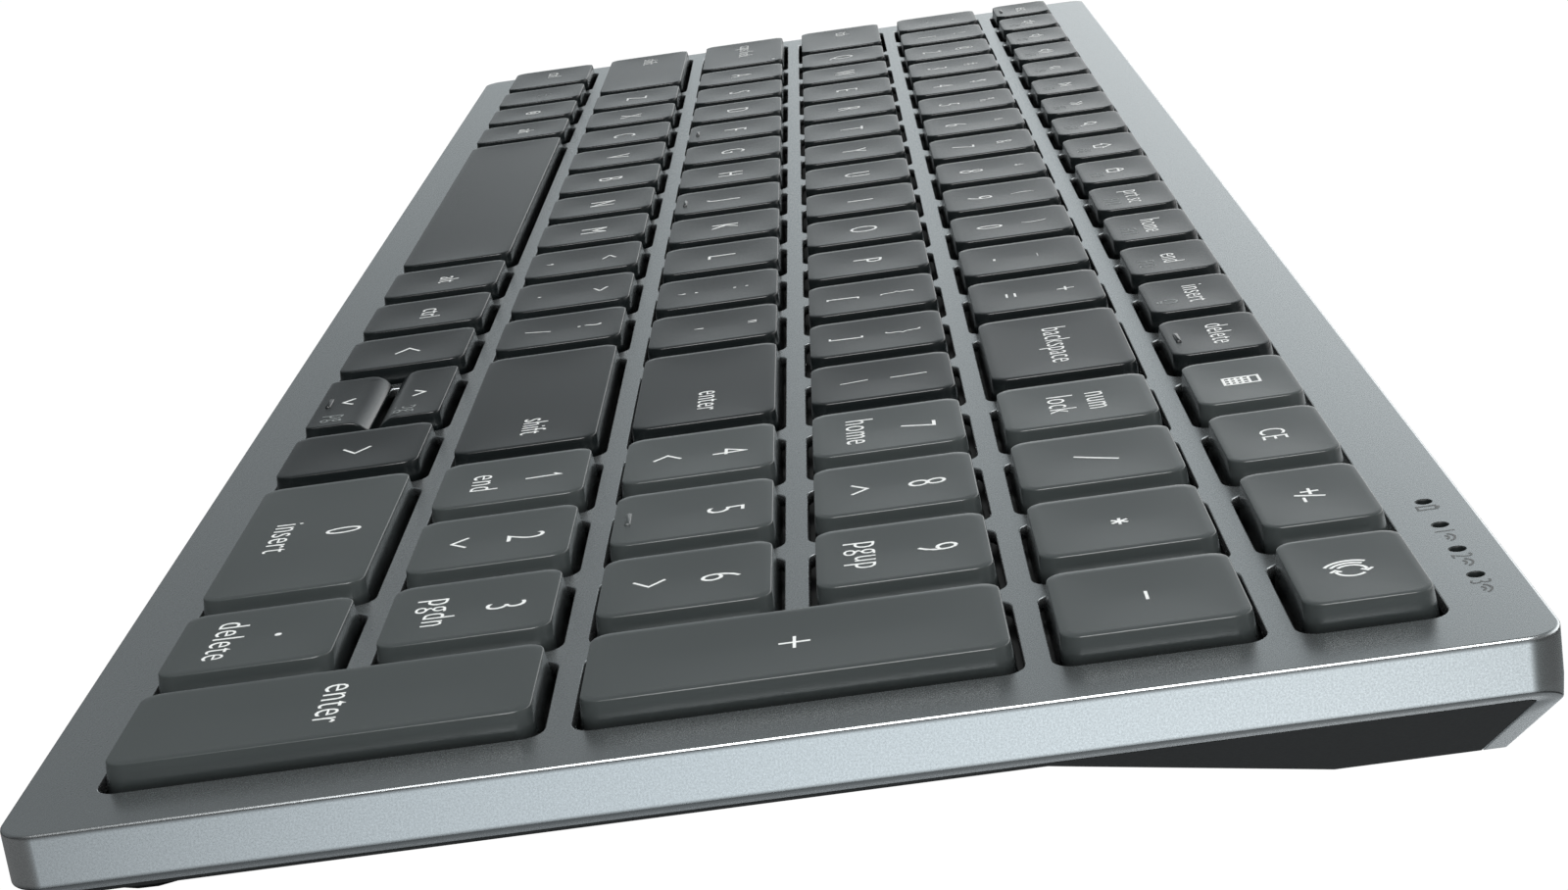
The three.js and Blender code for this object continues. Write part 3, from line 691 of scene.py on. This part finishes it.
LEGENDS = {  # for each node, the legend of each of its keys, left to right
    "keys_left_modifiers": [
        [word("ctrl", -5.4, 0, SMALL, "left")],
        [word("fn", 0, 0, SMALL, "centre", DIM_PRINT)],
        [icon("ring")],
        [word("alt", 0, 0, SMALL)],
    ],
    "key_space": [[]],
    "keys_right_modifiers": [[word("alt", 0, 0, SMALL)], [word("ctrl", 0, 0, SMALL)]],
    "key_arrow_left": [[icon("left")]],
    "key_arrow_right": [[icon("right")]],
    "key_arrow_up": [  # both from the middle of the shared cell's front edge
        [
            sign(shifted(ARROW_SIGN, 0, 13.7)),
            word("pg", 6.8, 13.2, FUNCTION_WORD, "centre", DIM_PRINT),
        ]
    ],
    "key_arrow_down": [
        [
            sign(shifted(flipped(ARROW_SIGN), 0, 5.4)),
            word("pg", 6.8, 4.9, FUNCTION_WORD, "centre", DIM_PRINT),
            bar(3.2),
        ]
    ],
    "key_left_shift": [[end_word("shift", 2.25, "left")]],
    "keys_lower_letter_row": letters("ZXCVBNM")
    + [pair(",", "<", 3.4), pair(".", ">", 3.4), pair("/", "?", 3.2, 3.0)],
    "key_right_shift": [[end_word("shift", 2.25, "right")]],
    "key_caps_lock": [
        [end_word("caps lock", 1.75, "left"), point(0.635 * UNIT, 5.9, LOCK_LIGHT_RADIUS)]
    ],
    "keys_home_row": HOME_ROW + [pair(";", ":", 3.2, 3.0), pair("'", '"', 3.2, 3.2)],
    "key_enter": [[end_word("enter", 1.75, "right")]],
    "key_tab": [[end_word("tab", 1.5, "left")]],
    "keys_upper_letter_row": letters("QWERTYUIOP")
    + [pair("[", "{"), pair("]", "}"), pair("\\", "|")],
    "keys_digit_row": [pair("`", "~", 3.0, 2.4)]
    + [pair(d, s, DIGIT, 2.4, -2.8) for d, s in zip("1234567890", "!@#$%^&*()")]
    + [pair("-", "_", 3.0, 2.4), pair("=", "+", 3.0, 3.0)],
    "key_backspace": [[end_word("backspace", 1.5, "right")]],
    "key_escape": [[word("esc", 0, 0, SMALL), bar(FUNCTION_BAR_Y)]],
    "keys_function_row": [function_legend(n + 1, main) for n, main in enumerate(FUNCTION_MAINS)]
    + [[word("insert", 0, 0.3, FUNCTION_WORD), icon("bulb", *KEY_LIGHT_AT, DIM_PRINT)]],
    "key_delete": [[word("delete", 0, 0.3, FUNCTION_WORD), bar(FUNCTION_BAR_Y)]],
    "key_pad_0": [[word("0", 0, 3.1, PAD_DIGIT), pad_word("insert")]],
    "key_pad_decimal": [[point(0, 1.8, DECIMAL_RADIUS), pad_word("delete")]],
    "key_pad_enter": [[word("enter", 0, 0, SMALL * 1.1)]],
    "key_pad_add": [[sign([(-1.3, 0), (1.3, 0)]), sign([(0, -1.3), (0, 1.3)])]],
    "key_pad_1": [[icon("one", *PAD_REAR), pad_word("end")]],
    "key_pad_2": [pad_digit(2, pad_arrow(DOWN))],
    "key_pad_3": [pad_digit(3, pad_word("pgdn"))],
    "key_pad_4": [pad_digit(4, pad_arrow(turned(UP)))],
    "key_pad_5": [pad_digit(5, bar(BAR_Y))],
    "key_pad_6": [pad_digit(6, pad_arrow(turned(DOWN)))],
    "key_pad_7": [pad_digit(7, pad_word("home"))],
    "key_pad_8": [pad_digit(8, pad_arrow(UP))],
    "key_pad_9": [pad_digit(9, pad_word("pgup"))],
    "key_pad_num_lock": [
        [word("num", 0, NUM_LOCK_Y, SMALL), word("lock", 0, -NUM_LOCK_Y, SMALL)]
    ],
    "key_pad_divide": [[sign([(-1.1, -2.0), (1.1, 2.0)])]],
    "key_pad_multiply": [
        [
            sign([(-0.8, 0), (0.8, 0)]),
            sign([(-0.4, -0.7), (0.4, 0.7)]),
            sign([(-0.4, 0.7), (0.4, -0.7)]),
        ]
    ],
    "key_pad_subtract": [[sign([(-0.95, 0), (0.95, 0)])]],
    "key_calculator": [[icon("calculator")]],
    "key_clear_entry": [[word("CE", 0, 0, CLEAR_ENTRY)]],
    "key_plus_minus": [[icon("plus_minus")]],
    "key_connect": [[icon("connect")]],
}


def raised_bar(skin, x, y, height):
    """A small rounded bar that stands on the cap, for fingers to feel."""
    rings = []
    for by, lift in BAR_PROFILE:
        half_width = BAR_WIDTH / 2 - by
        half_depth = BAR_DEPTH / 2 - by * BAR_END_SHARE
        box = (x - half_width, x + half_width, y - half_depth, y + half_depth)
        loop = outline(box, BAR_RADIUS, corner_steps=3)
        rings.append([(px, py, height(px, py) + lift) for px, py in loop])
    skin.loft(rings)


def add_legend(skin, legend, cell, height):
    """Prints a legend round the middle of a cell, and adds its bar."""
    cx, cy = middle_of(cell)
    for kind, *rest in legend:
        if kind == "word":
            text, x, y, size, align, look = rest
            shape = lettering.placed(text, cx + x, cy + y, size, align)
            print_on(skin, shape, height, look)
        elif kind == "icon":
            name, x, y, look = rest
            for line in ICONS[name]:
                print_on(skin, moved(ribbon(line), cx + x, cy + y), height, look)
        elif kind == "line":
            print_on(skin, moved(ribbon(rest[0]), cx, cy), height)
        elif kind == "dot":
            x, y, radius = rest
            print_on(skin, dot(cx + x, cy + y, radius), height)
        elif kind == "bar":
            raised_bar(skin, cx, cy + rest[0], height)


# ---- Materials -----------------------------------------------------------------------------


def new_material(name):
    material = bpy.data.materials.new(name)
    material.use_nodes = True
    tree = material.node_tree
    return material, tree, tree.nodes["Principled BSDF"]


def noise(tree, size_mm, roughness=0.5):
    """Noise in object space, whose features are about size_mm across."""
    place = tree.nodes.new("ShaderNodeTexCoord")
    texture = tree.nodes.new("ShaderNodeTexNoise")
    texture.inputs["Scale"].default_value = 1000 / size_mm
    texture.inputs["Roughness"].default_value = roughness
    tree.links.new(place.outputs["Object"], texture.inputs["Vector"])
    return texture.outputs["Fac"]


def ramp(tree, factor, stops):
    """Colours along a factor, from (position, colour) pairs."""
    node = tree.nodes.new("ShaderNodeValToRGB")
    elements = node.color_ramp.elements
    while len(elements) < len(stops):
        elements.new(0.5)
    for element, (position, colour) in zip(elements, stops):
        element.position = position
        element.color = (*colour, 1)
    tree.links.new(factor, node.inputs["Fac"])
    return node.outputs["Color"]


def remap(tree, factor, low, high, start=0.3, end=0.7):
    node = tree.nodes.new("ShaderNodeMapRange")
    node.inputs["From Min"].default_value = start
    node.inputs["From Max"].default_value = end
    node.inputs["To Min"].default_value = low
    node.inputs["To Max"].default_value = high
    tree.links.new(factor, node.inputs["Value"])
    return node.outputs["Result"]


def bump(tree, shader, factor, depth_mm, strength):
    node = tree.nodes.new("ShaderNodeBump")
    node.inputs["Distance"].default_value = depth_mm / 1000
    node.inputs["Strength"].default_value = strength
    tree.links.new(factor, node.inputs["Height"])
    tree.links.new(node.outputs["Normal"], shader.inputs["Normal"])


def tinted(colour, share):
    return tuple(min(1, c * share) for c in colour)


def silver_paint():
    """Metallic paint: fine bright flakes in a satin grey coat."""
    material, tree, shader = new_material("silver_paint")
    base = (0.56, 0.59, 0.60)
    shader.inputs["Metallic"].default_value = 0.95
    flakes = noise(tree, size_mm=0.16, roughness=0.6)
    stops = [(0.3, tinted(base, 0.92)), (0.5, base), (0.7, tinted(base, 1.09))]
    tree.links.new(ramp(tree, flakes, stops), shader.inputs["Base Color"])
    tree.links.new(remap(tree, flakes, 0.29, 0.24), shader.inputs["Roughness"])
    bump(tree, shader, noise(tree, size_mm=0.2), depth_mm=0.004, strength=0.05)
    return material


def moulded_plastic(name, colour, rough, grain_mm, depth_mm):
    """Satin moulded plastic: faint drift of its colour, fine spark-eroded grain."""
    material, tree, shader = new_material(name)
    drift = noise(tree, size_mm=30)
    stops = [(0.3, tinted(colour, 0.94)), (0.7, tinted(colour, 1.06))]
    tree.links.new(ramp(tree, drift, stops), shader.inputs["Base Color"])
    grain = noise(tree, grain_mm)
    tree.links.new(remap(tree, grain, rough - 0.02, rough + 0.02), shader.inputs["Roughness"])
    if depth_mm:
        bump(tree, shader, grain, depth_mm, strength=0.4)
    return material


def print_ink(name, colour):
    """Thin printed ink, very slightly uneven."""
    material, tree, shader = new_material(name)
    cover = noise(tree, size_mm=0.4)
    stops = [(0.3, tinted(colour, 0.93)), (0.6, colour)]
    tree.links.new(ramp(tree, cover, stops), shader.inputs["Base Color"])
    tree.links.new(remap(tree, cover, 0.4, 0.5), shader.inputs["Roughness"])
    return material


def metal(name, colour, rough):
    """Bare metal with short rolled streaks along x."""
    material, tree, shader = new_material(name)
    shader.inputs["Metallic"].default_value = 1.0
    place = tree.nodes.new("ShaderNodeTexCoord")
    stretch = tree.nodes.new("ShaderNodeMapping")
    stretch.inputs["Scale"].default_value = (300, 6000, 6000)  # streaks per metre
    streaks = tree.nodes.new("ShaderNodeTexNoise")
    streaks.inputs["Scale"].default_value = 1.0
    tree.links.new(place.outputs["Object"], stretch.inputs["Vector"])
    tree.links.new(stretch.outputs["Vector"], streaks.inputs["Vector"])
    stops = [(0.3, tinted(colour, 0.85)), (0.7, tinted(colour, 1.1))]
    tree.links.new(ramp(tree, streaks.outputs["Fac"], stops), shader.inputs["Base Color"])
    spread = remap(tree, streaks.outputs["Fac"], rough - 0.08, rough + 0.08)
    tree.links.new(spread, shader.inputs["Roughness"])
    return material


PLASTICS = {  # colour, roughness, and the size and depth of the grain in mm
    "black_plastic": ((0.008, 0.0115, 0.0115), 0.55, 0.35, 0.02),
    "key_dark": ((0.008, 0.0105, 0.011), 0.25, 0.3, 0),
    "key_grey": ((0.052, 0.060, 0.060), 0.25, 0.3, 0),
    "silicone": ((0.05, 0.052, 0.052), 0.6, 0.2, 0.01),
    "contact_film": ((0.39, 0.45, 0.44), 0.3, 2.0, 0.002),
    "board": ((0.012, 0.075, 0.036), 0.35, 0.6, 0.01),
    "clear_plastic": ((0.02, 0.02, 0.02), 0.2, 0.5, 0.002),
    "foot_rubber": ((0.019, 0.022, 0.023), 0.8, 0.15, 0.01),
}
METALS = {  # colour and roughness
    "steel": ((0.50, 0.51, 0.52), 0.32),
    "cell_jacket": ((0.25, 0.27, 0.30), 0.3),
}
INKS = {
    "print_light": (0.86, 0.88, 0.87),
    "print_dim": (0.23, 0.25, 0.25),
    "print_dark": (0.10, 0.105, 0.105),
}
LOOKS = {  # the CAD model's material slots, and the inks
    "silver_paint": silver_paint(),
    **{slot: moulded_plastic(slot, *values) for slot, values in PLASTICS.items()},
    **{slot: metal(slot, *values) for slot, values in METALS.items()},
    **{name: print_ink(name, colour) for name, colour in INKS.items()},
}

SOFTENED = {  # width of the rounded edges of CAD nodes that stay, mm
    "bottom_case": 0.25,
    "battery_door": 0.2,
    "foot_front_left": 0.3,
    "foot_front_right": 0.3,
    "foot_rear_left": 0.3,
    "foot_rear_right": 0.3,
}
SHARP_FROM = 30  # degrees between two faces


def dress(name, slot):
    """Gives a CAD node that stays the procedural look of its slot, and softens its edges."""
    node = frame["nodes"][name]
    node.data.materials.clear()
    node.data.materials.append(LOOKS[slot])
    if name in SOFTENED:
        bevel = node.modifiers.new("soft_edges", "BEVEL")
        bevel.width = SOFTENED[name] / 1000
        bevel.segments = 2
        bevel.limit_method = "ANGLE"
        bevel.angle_limit = math.radians(SHARP_FROM)


# ---- Top case ------------------------------------------------------------------------------

CORNER_POINTS = CASE_CORNER_STEPS + 1
TOP_SHELL_LOOKS = ("silver_paint", "print_dark", "black_plastic")
SILVER_LOOK, MARK_LOOK, LIGHT_HOLE_LOOK = range(3)
STATUS_MARKS = (["battery"], ["1", "waves"], ["2", "waves"], ["3", "waves"])
MARK_OFFSET = 1.7  # from a light to its first mark
MARK_PITCH = 1.6
MARK_HEIGHT = 1.7
MARK_PEN = 0.2


def case_outline(by):
    """The case outline moved in. Two points on the rear edge mark the ends of the hump."""
    box = inset(CASE, by)
    points = outline(box, CASE_RADIUS - by, CASE_CORNER_STEPS)
    first = 2 * CORNER_POINTS
    reach = (FACET_TOP_Z - HUMP_Z) * FACET_RUN
    marks = [(CASE[X1] - reach, box[Y1]), (CASE[X0] + reach, box[Y1])]
    return points[:first] + marks + points[first:]


def is_rear(number):
    """Whether a point of the case outline is on the rear edge or round its corners."""
    return CORNER_POINTS <= number < 3 * CORNER_POINTS + 2


def rim_z(number, point, by):
    """Height where the inclined facets cut the outline that is moved in by a distance."""
    if not is_rear(number):
        return FACET_TOP_Z - by / FACET_RUN
    from_side = min(point[0] - CASE[X0], CASE[X1] - point[0])
    return max(HUMP_Z, FACET_TOP_Z - from_side / FACET_RUN)


def leaning(number, point, z):
    """A point of the outline at a height. The rear wall leans inwards below the facets."""
    lean = max(0, FACET_TOP_Z - z) * REAR_LEAN if is_rear(number) else 0
    return (point[0], point[1] - lean, z)


def rim_ring(by, lift):
    """The outline moved in by a distance, at a height over the facets."""
    points = case_outline(by)
    return [leaning(n, p, rim_z(n, p, by) + lift) for n, p in enumerate(points)]


def hole_loops(skin, box, radius, look):
    """One opening through the deck. Returns its loops at the top and the underside."""
    loops = []
    for degrees in HOLE_ANGLES:
        angle = math.radians(degrees)
        by = HOLE_FILLET * (1 - math.sin(angle))
        z = -HOLE_FILLET * (1 - math.cos(angle))
        grown = inset(box, -by)
        loops.append(skin.add(at_height(outline(grown, radius + by), z)))
    loops.append(skin.add(at_height(outline(box, radius), -DECK_THICKNESS)))
    for upper, lower in zip(loops, loops[1:]):
        skin.bridge(upper, lower, look)
    return loops[0], loops[-1]


def fill(skin, loops, facing_up):
    """Flat faces between an outer loop and the openings in it."""
    lines = [[Vector(skin.points[n]) for n in loop] for loop in loops]
    numbers = [n for loop in loops for n in loop]
    for triangle in tessellate_polygon(lines):
        a, b, c = (numbers[n] for n in triangle)
        pa, pb, pc = (Vector(skin.points[n]) for n in (a, b, c))
        if ((pb - pa).cross(pc - pa).z > 0) != facing_up:
            b, c = c, b
        skin.face((a, b, c), SILVER_LOOK, False)


def deck_holes():
    """Every opening in the deck: its box, its corner radius and its material number."""
    cells = [cell for run_of_keys in (MAIN_KEYS | PAD_KEYS).values() for cell in run_of_keys]
    cells.append(ARROW_CELL)
    holes = [(inset(cell, HOLE_INSET), HOLE_RADIUS, SILVER_LOOK) for cell in cells]
    for x in LIGHT_X:
        r = LIGHT_HOLE_RADIUS
        box = (x - r, x + r, LIGHT_Y - r, LIGHT_Y + r)
        holes.append((box, r * ROUND_SHARE, LIGHT_HOLE_LOOK))
    return holes


def case_rings():
    """The case's skin: over the upper edge, down the wall, round the rim and up inside."""
    rings = []
    for degrees in (0, *FILLET_ANGLES):
        angle = math.radians(degrees)
        by = EDGE_FILLET * (1 - math.sin(angle))
        rings.append(at_height(case_outline(by), -EDGE_FILLET * (1 - math.cos(angle))))
    rings.append(at_height(case_outline(0), -EDGE_FILLET - NEAR_EDGE))
    rings.append(at_height(case_outline(0), FACET_TOP_Z + RIM_CLEARANCE))
    rings.extend(rim_ring(by, lift) for by, lift in RIM_PROFILE)
    rings.append(at_height(case_outline(CASE_WALL), FACET_TOP_Z + RIM_CLEARANCE))
    rings.append(at_height(case_outline(CASE_WALL), -DECK_THICKNESS))
    return rings


def deck_height(x, y):
    return 0.0


def print_status_marks(skin):
    for x, marks in zip(LIGHT_X, STATUS_MARKS):
        for number, mark in enumerate(marks):
            place = x + MARK_OFFSET + number * MARK_PITCH
            if mark in ICONS:
                shapes = [moved(ribbon(line, MARK_PEN), place, LIGHT_Y) for line in ICONS[mark]]
            else:
                shapes = [lettering.placed(mark, place, LIGHT_Y, MARK_HEIGHT)]
            for shape in shapes:
                print_on(skin, shape, deck_height, MARK_LOOK)


def top_case():
    skin = Skin()
    ends = [hole_loops(skin, *hole) for hole in deck_holes()]
    loops = [skin.add(ring) for ring in case_rings()]
    for upper, lower in zip(loops, loops[1:]):
        skin.bridge(lower, upper)
    fill(skin, [loops[0]] + [top for top, _ in ends], True)
    fill(skin, [loops[-1]] + [under for _, under in ends], False)
    print_status_marks(skin)
    piece = skin.piece("top_shell", [LOOKS[name] for name in TOP_SHELL_LOOKS])
    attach(piece, "case")
    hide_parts("top_case")


# ---- Keys ----------------------------------------------------------------------------------


def finish_key(skin, node, slot):
    looks = [LOOKS[slot], LOOKS["print_light"], LOOKS["print_dim"]]
    piece = skin.piece(node.replace("key", "cap", 1), looks)
    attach(piece, node)
    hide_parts(node)


def keys(node, cells, slot):
    """One piece for each CAD node of keycaps, with its legends printed on it."""
    skin = Skin()
    for cell, legend in zip(cells, LEGENDS[node]):
        crown = Crown(inset(cell, CROWN_INSET))
        cap(skin, inset(cell, HOLE_INSET + CAP_GAP), crown)
        add_legend(skin, legend, cell, crown.height)
    for left, right in zip(cells, cells[1:]):
        web(skin, left, right)
    finish_key(skin, node, slot)


def arrow_key(node, is_upper):
    """A half-depth arrow key, whose edge next to the other one is rounded off."""
    middle = (ARROW_CELL[Y0] + ARROW_CELL[Y1]) / 2
    inner = middle + (ARROW_GAP if is_upper else -ARROW_GAP) / 2

    def half(box):
        low, high = (inner, box[Y1]) if is_upper else (box[Y0], inner)
        return (box[X0], box[X1], low, high)

    crown = Crown(half(inset(ARROW_CELL, CROWN_INSET)), CAP_RADIUS / 2, inner)
    skin = Skin()
    cap(skin, half(inset(ARROW_CELL, HOLE_INSET + CAP_GAP)), crown)
    front_edge = (ARROW_CELL[X0], ARROW_CELL[X1], ARROW_CELL[Y0], ARROW_CELL[Y0])
    add_legend(skin, LEGENDS[node][0], front_edge, crown.height)
    finish_key(skin, node, "key_dark")


# ---- Stage ---------------------------------------------------------------------------------

CAMERA_PLACE = (555.19, 68.04, 80.77)  # deck frame, mm
CAMERA_TARGET = (240.47, 55.81, 0.0)
CAMERA_ROLL = -2.295  # degrees
CAMERA_LENS = 64.12
CAMERA_SENSOR = 36
CAMERA_SHIFT = -0.0621
CAMERA_NEAR = 0.01  # m


def add_camera():
    data = bpy.data.cameras.new("camera")
    data.lens = CAMERA_LENS
    data.sensor_width = CAMERA_SENSOR
    data.shift_y = CAMERA_SHIFT
    data.clip_start = CAMERA_NEAR
    camera = bpy.data.objects.new("camera", data)
    place = DECK @ Vector(CAMERA_PLACE)
    look = DECK @ Vector(CAMERA_TARGET) - place
    camera.rotation_mode = "QUATERNION"
    roll = Matrix.Rotation(math.radians(CAMERA_ROLL), 3, "Z")
    turn = look.to_track_quat("-Z", "Y").to_matrix() @ roll
    camera.rotation_quaternion = turn.to_quaternion()
    camera.location = place
    bpy.context.scene.collection.objects.link(camera)
    bpy.context.scene.camera = camera


def add_light(name, place, tilt, size, power):
    """A soft box that points down, size[0] along x, then turned by degrees about x, y and z."""
    data = bpy.data.lights.new(name, "AREA")
    data.shape = "RECTANGLE"
    data.size, data.size_y = size
    data.energy = power
    light = bpy.data.objects.new(name, data)
    light.location = place
    light.rotation_euler = [math.radians(degrees) for degrees in tilt]
    light.visible_camera = False
    bpy.context.scene.collection.objects.link(light)


COVE_LEAN = 0.7  # how much higher the pale band reaches towards the rear
COVE_LIGHT = 1.8
COVE = [  # brightness by height, from the horizon at 0 to the zenith at 1
    (0.0, (1.0, 1.0, 1.0)),
    (0.06, (0.78, 0.81, 0.82)),
    (0.12, (0.49, 0.52, 0.53)),
    (0.2, (0.35, 0.375, 0.385)),
    (0.27, (0.2, 0.214, 0.221)),
    (0.36, (0.1, 0.107, 0.11)),
    (1.0, (0.06, 0.065, 0.067)),
]
COVE_ROUND = [  # its share that is left by direction, from the left at 0 to the right at 1
    (0.35, (1.0, 1.0, 1.0)),
    (0.65, (0.12, 0.12, 0.12)),
]
TABLE_ACROSS = [  # brightness of the table's reflection, from the front at 0 to the rear at 1
    (0.28, (0.1, 0.1, 0.1)),
    (0.38, (0.54, 0.58, 0.61)),
    (0.5, (0.74, 0.80, 0.84)),
    (0.6, (0.90, 0.95, 0.98)),
    (0.67, (0.90, 0.95, 0.98)),
    (0.73, (0.12, 0.13, 0.13)),
    (1.0, (0.08, 0.08, 0.08)),
]
TABLE_DEPTH = [  # from straight down at 0 to the horizon at 1
    (0.0, (0.1, 0.1, 0.1)),
    (0.38, (0.15, 0.15, 0.15)),
    (0.52, (1.0, 1.0, 1.0)),
    (0.68, (1.0, 1.0, 1.0)),
    (0.8, (0.2, 0.2, 0.2)),
    (1.0, (0.1, 0.1, 0.1)),
]


def combined(tree, operation, a, b, c=None):
    """The outcome of a math node, whose last inputs are links or fixed numbers."""
    node = tree.nodes.new("ShaderNodeMath")
    node.operation = operation
    for slot, value in zip(node.inputs, (a, b, c)):
        if isinstance(value, float):
            slot.default_value = value
        elif value is not None:
            tree.links.new(value, slot)
    return node.outputs["Value"]


def mixed(tree, share, a, b):
    """Colour a where the share is 0 and colour b where it is 1."""
    node = tree.nodes.new("ShaderNodeMix")
    node.data_type = "RGBA"
    tree.links.new(share, node.inputs["Factor"])
    for name, value in (("A", a), ("B", b)):
        if isinstance(value, tuple):
            node.inputs[name].default_value = value
        else:
            tree.links.new(value, node.inputs[name])
    return node.outputs["Result"]


def product(tree, a, b):
    node = tree.nodes.new("ShaderNodeVectorMath")
    node.operation = "MULTIPLY"
    tree.links.new(a, node.inputs[0])
    tree.links.new(b, node.inputs[1])
    return node.outputs["Vector"]


def add_world():
    """A studio: a pale cove that darkens upwards, and a pale table under the horizon."""
    world = bpy.data.worlds.new("studio")
    world.use_nodes = True
    tree = world.node_tree
    background = tree.nodes["Background"]
    place = tree.nodes.new("ShaderNodeTexCoord")
    split = tree.nodes.new("ShaderNodeSeparateXYZ")
    tree.links.new(place.outputs["Generated"], split.inputs["Vector"])
    rightward, rearward, upward = (split.outputs[axis] for axis in "XYZ")
    band = ramp(tree, combined(tree, "MULTIPLY_ADD", rearward, -COVE_LEAN, upward), COVE)
    around = ramp(tree, remap(tree, rightward, 0, 1, -1, 1), COVE_ROUND)
    cove = product(tree, band, around)
    across = ramp(tree, remap(tree, rearward, 0, 1, -1, 1), TABLE_ACROSS)
    depth = ramp(tree, remap(tree, upward, 0, 1, -1, 0), TABLE_DEPTH)
    table = product(tree, across, depth)
    studio = mixed(tree, combined(tree, "LESS_THAN", upward, 0.0), cove, table)
    seen = tree.nodes.new("ShaderNodeLightPath").outputs["Is Camera Ray"]
    tree.links.new(mixed(tree, seen, studio, (1, 1, 1, 1)), background.inputs["Color"])
    strength = remap(tree, seen, COVE_LIGHT, 1, 0, 1)
    tree.links.new(strength, background.inputs["Strength"])
    bpy.context.scene.world = world


FLOOR_REACH = 20  # m
FLOOR_GLOW = 1.05
FLOOR_GLOW_SHARE = 0.97  # the rest shows the light and shadow that fall on it


def add_floor():
    """A white ground plane. It glows for the camera only, so it sends no light upwards."""
    material, tree, shader = new_material("floor")
    stops = [(0.3, (0.25, 0.25, 0.25)), (0.7, (0.26, 0.26, 0.26))]
    cloud = noise(tree, size_mm=400)
    tree.links.new(ramp(tree, cloud, stops), shader.inputs["Base Color"])
    shader.inputs["Roughness"].default_value = 0.9
    shader.inputs["Specular IOR Level"].default_value = 0.1
    white = tree.nodes.new("ShaderNodeEmission")
    white.inputs["Strength"].default_value = FLOOR_GLOW
    seen = tree.nodes.new("ShaderNodeLightPath").outputs["Is Camera Ray"]
    mix = tree.nodes.new("ShaderNodeMixShader")
    tree.links.new(combined(tree, "MULTIPLY", seen, FLOOR_GLOW_SHARE), mix.inputs["Fac"])
    tree.links.new(shader.outputs["BSDF"], mix.inputs[1])
    tree.links.new(white.outputs["Emission"], mix.inputs[2])
    output = tree.nodes["Material Output"]
    tree.links.new(mix.outputs["Shader"], output.inputs["Surface"])
    mesh = bpy.data.meshes.new("floor")
    ways = ((-1, -1), (1, -1), (1, 1), (-1, 1))
    corners = [(x * FLOOR_REACH, y * FLOOR_REACH, 0) for x, y in ways]
    mesh.from_pydata(corners, [], [(0, 1, 2, 3)])
    mesh.materials.append(material)
    floor = bpy.data.objects.new("floor", mesh)
    floor.visible_glossy = False  # reflections show the studio's table instead
    bpy.context.scene.collection.objects.link(floor)


# ---- Assembly ------------------------------------------------------------------------------

top_case()
for node, cells in MAIN_KEYS.items():
    keys(node, cells, "key_dark")
for node, cells in PAD_KEYS.items():
    keys(node, cells, "key_grey")
arrow_key("key_arrow_up", True)
arrow_key("key_arrow_down", False)

replaced = {"top_case", "key_arrow_up", "key_arrow_down", *MAIN_KEYS, *PAD_KEYS}
for part in frame["record"]["subparts"]:
    if part["node"] not in replaced:
        dress(part["node"], part["material_slot"])

add_camera()
add_world()
add_floor()
add_light("soft_box", place=(0.85, -0.05, 1.36), tilt=(0, 32, 0), size=(1.4, 0.7), power=30)
bpy.context.scene.view_settings.view_transform = "Standard"
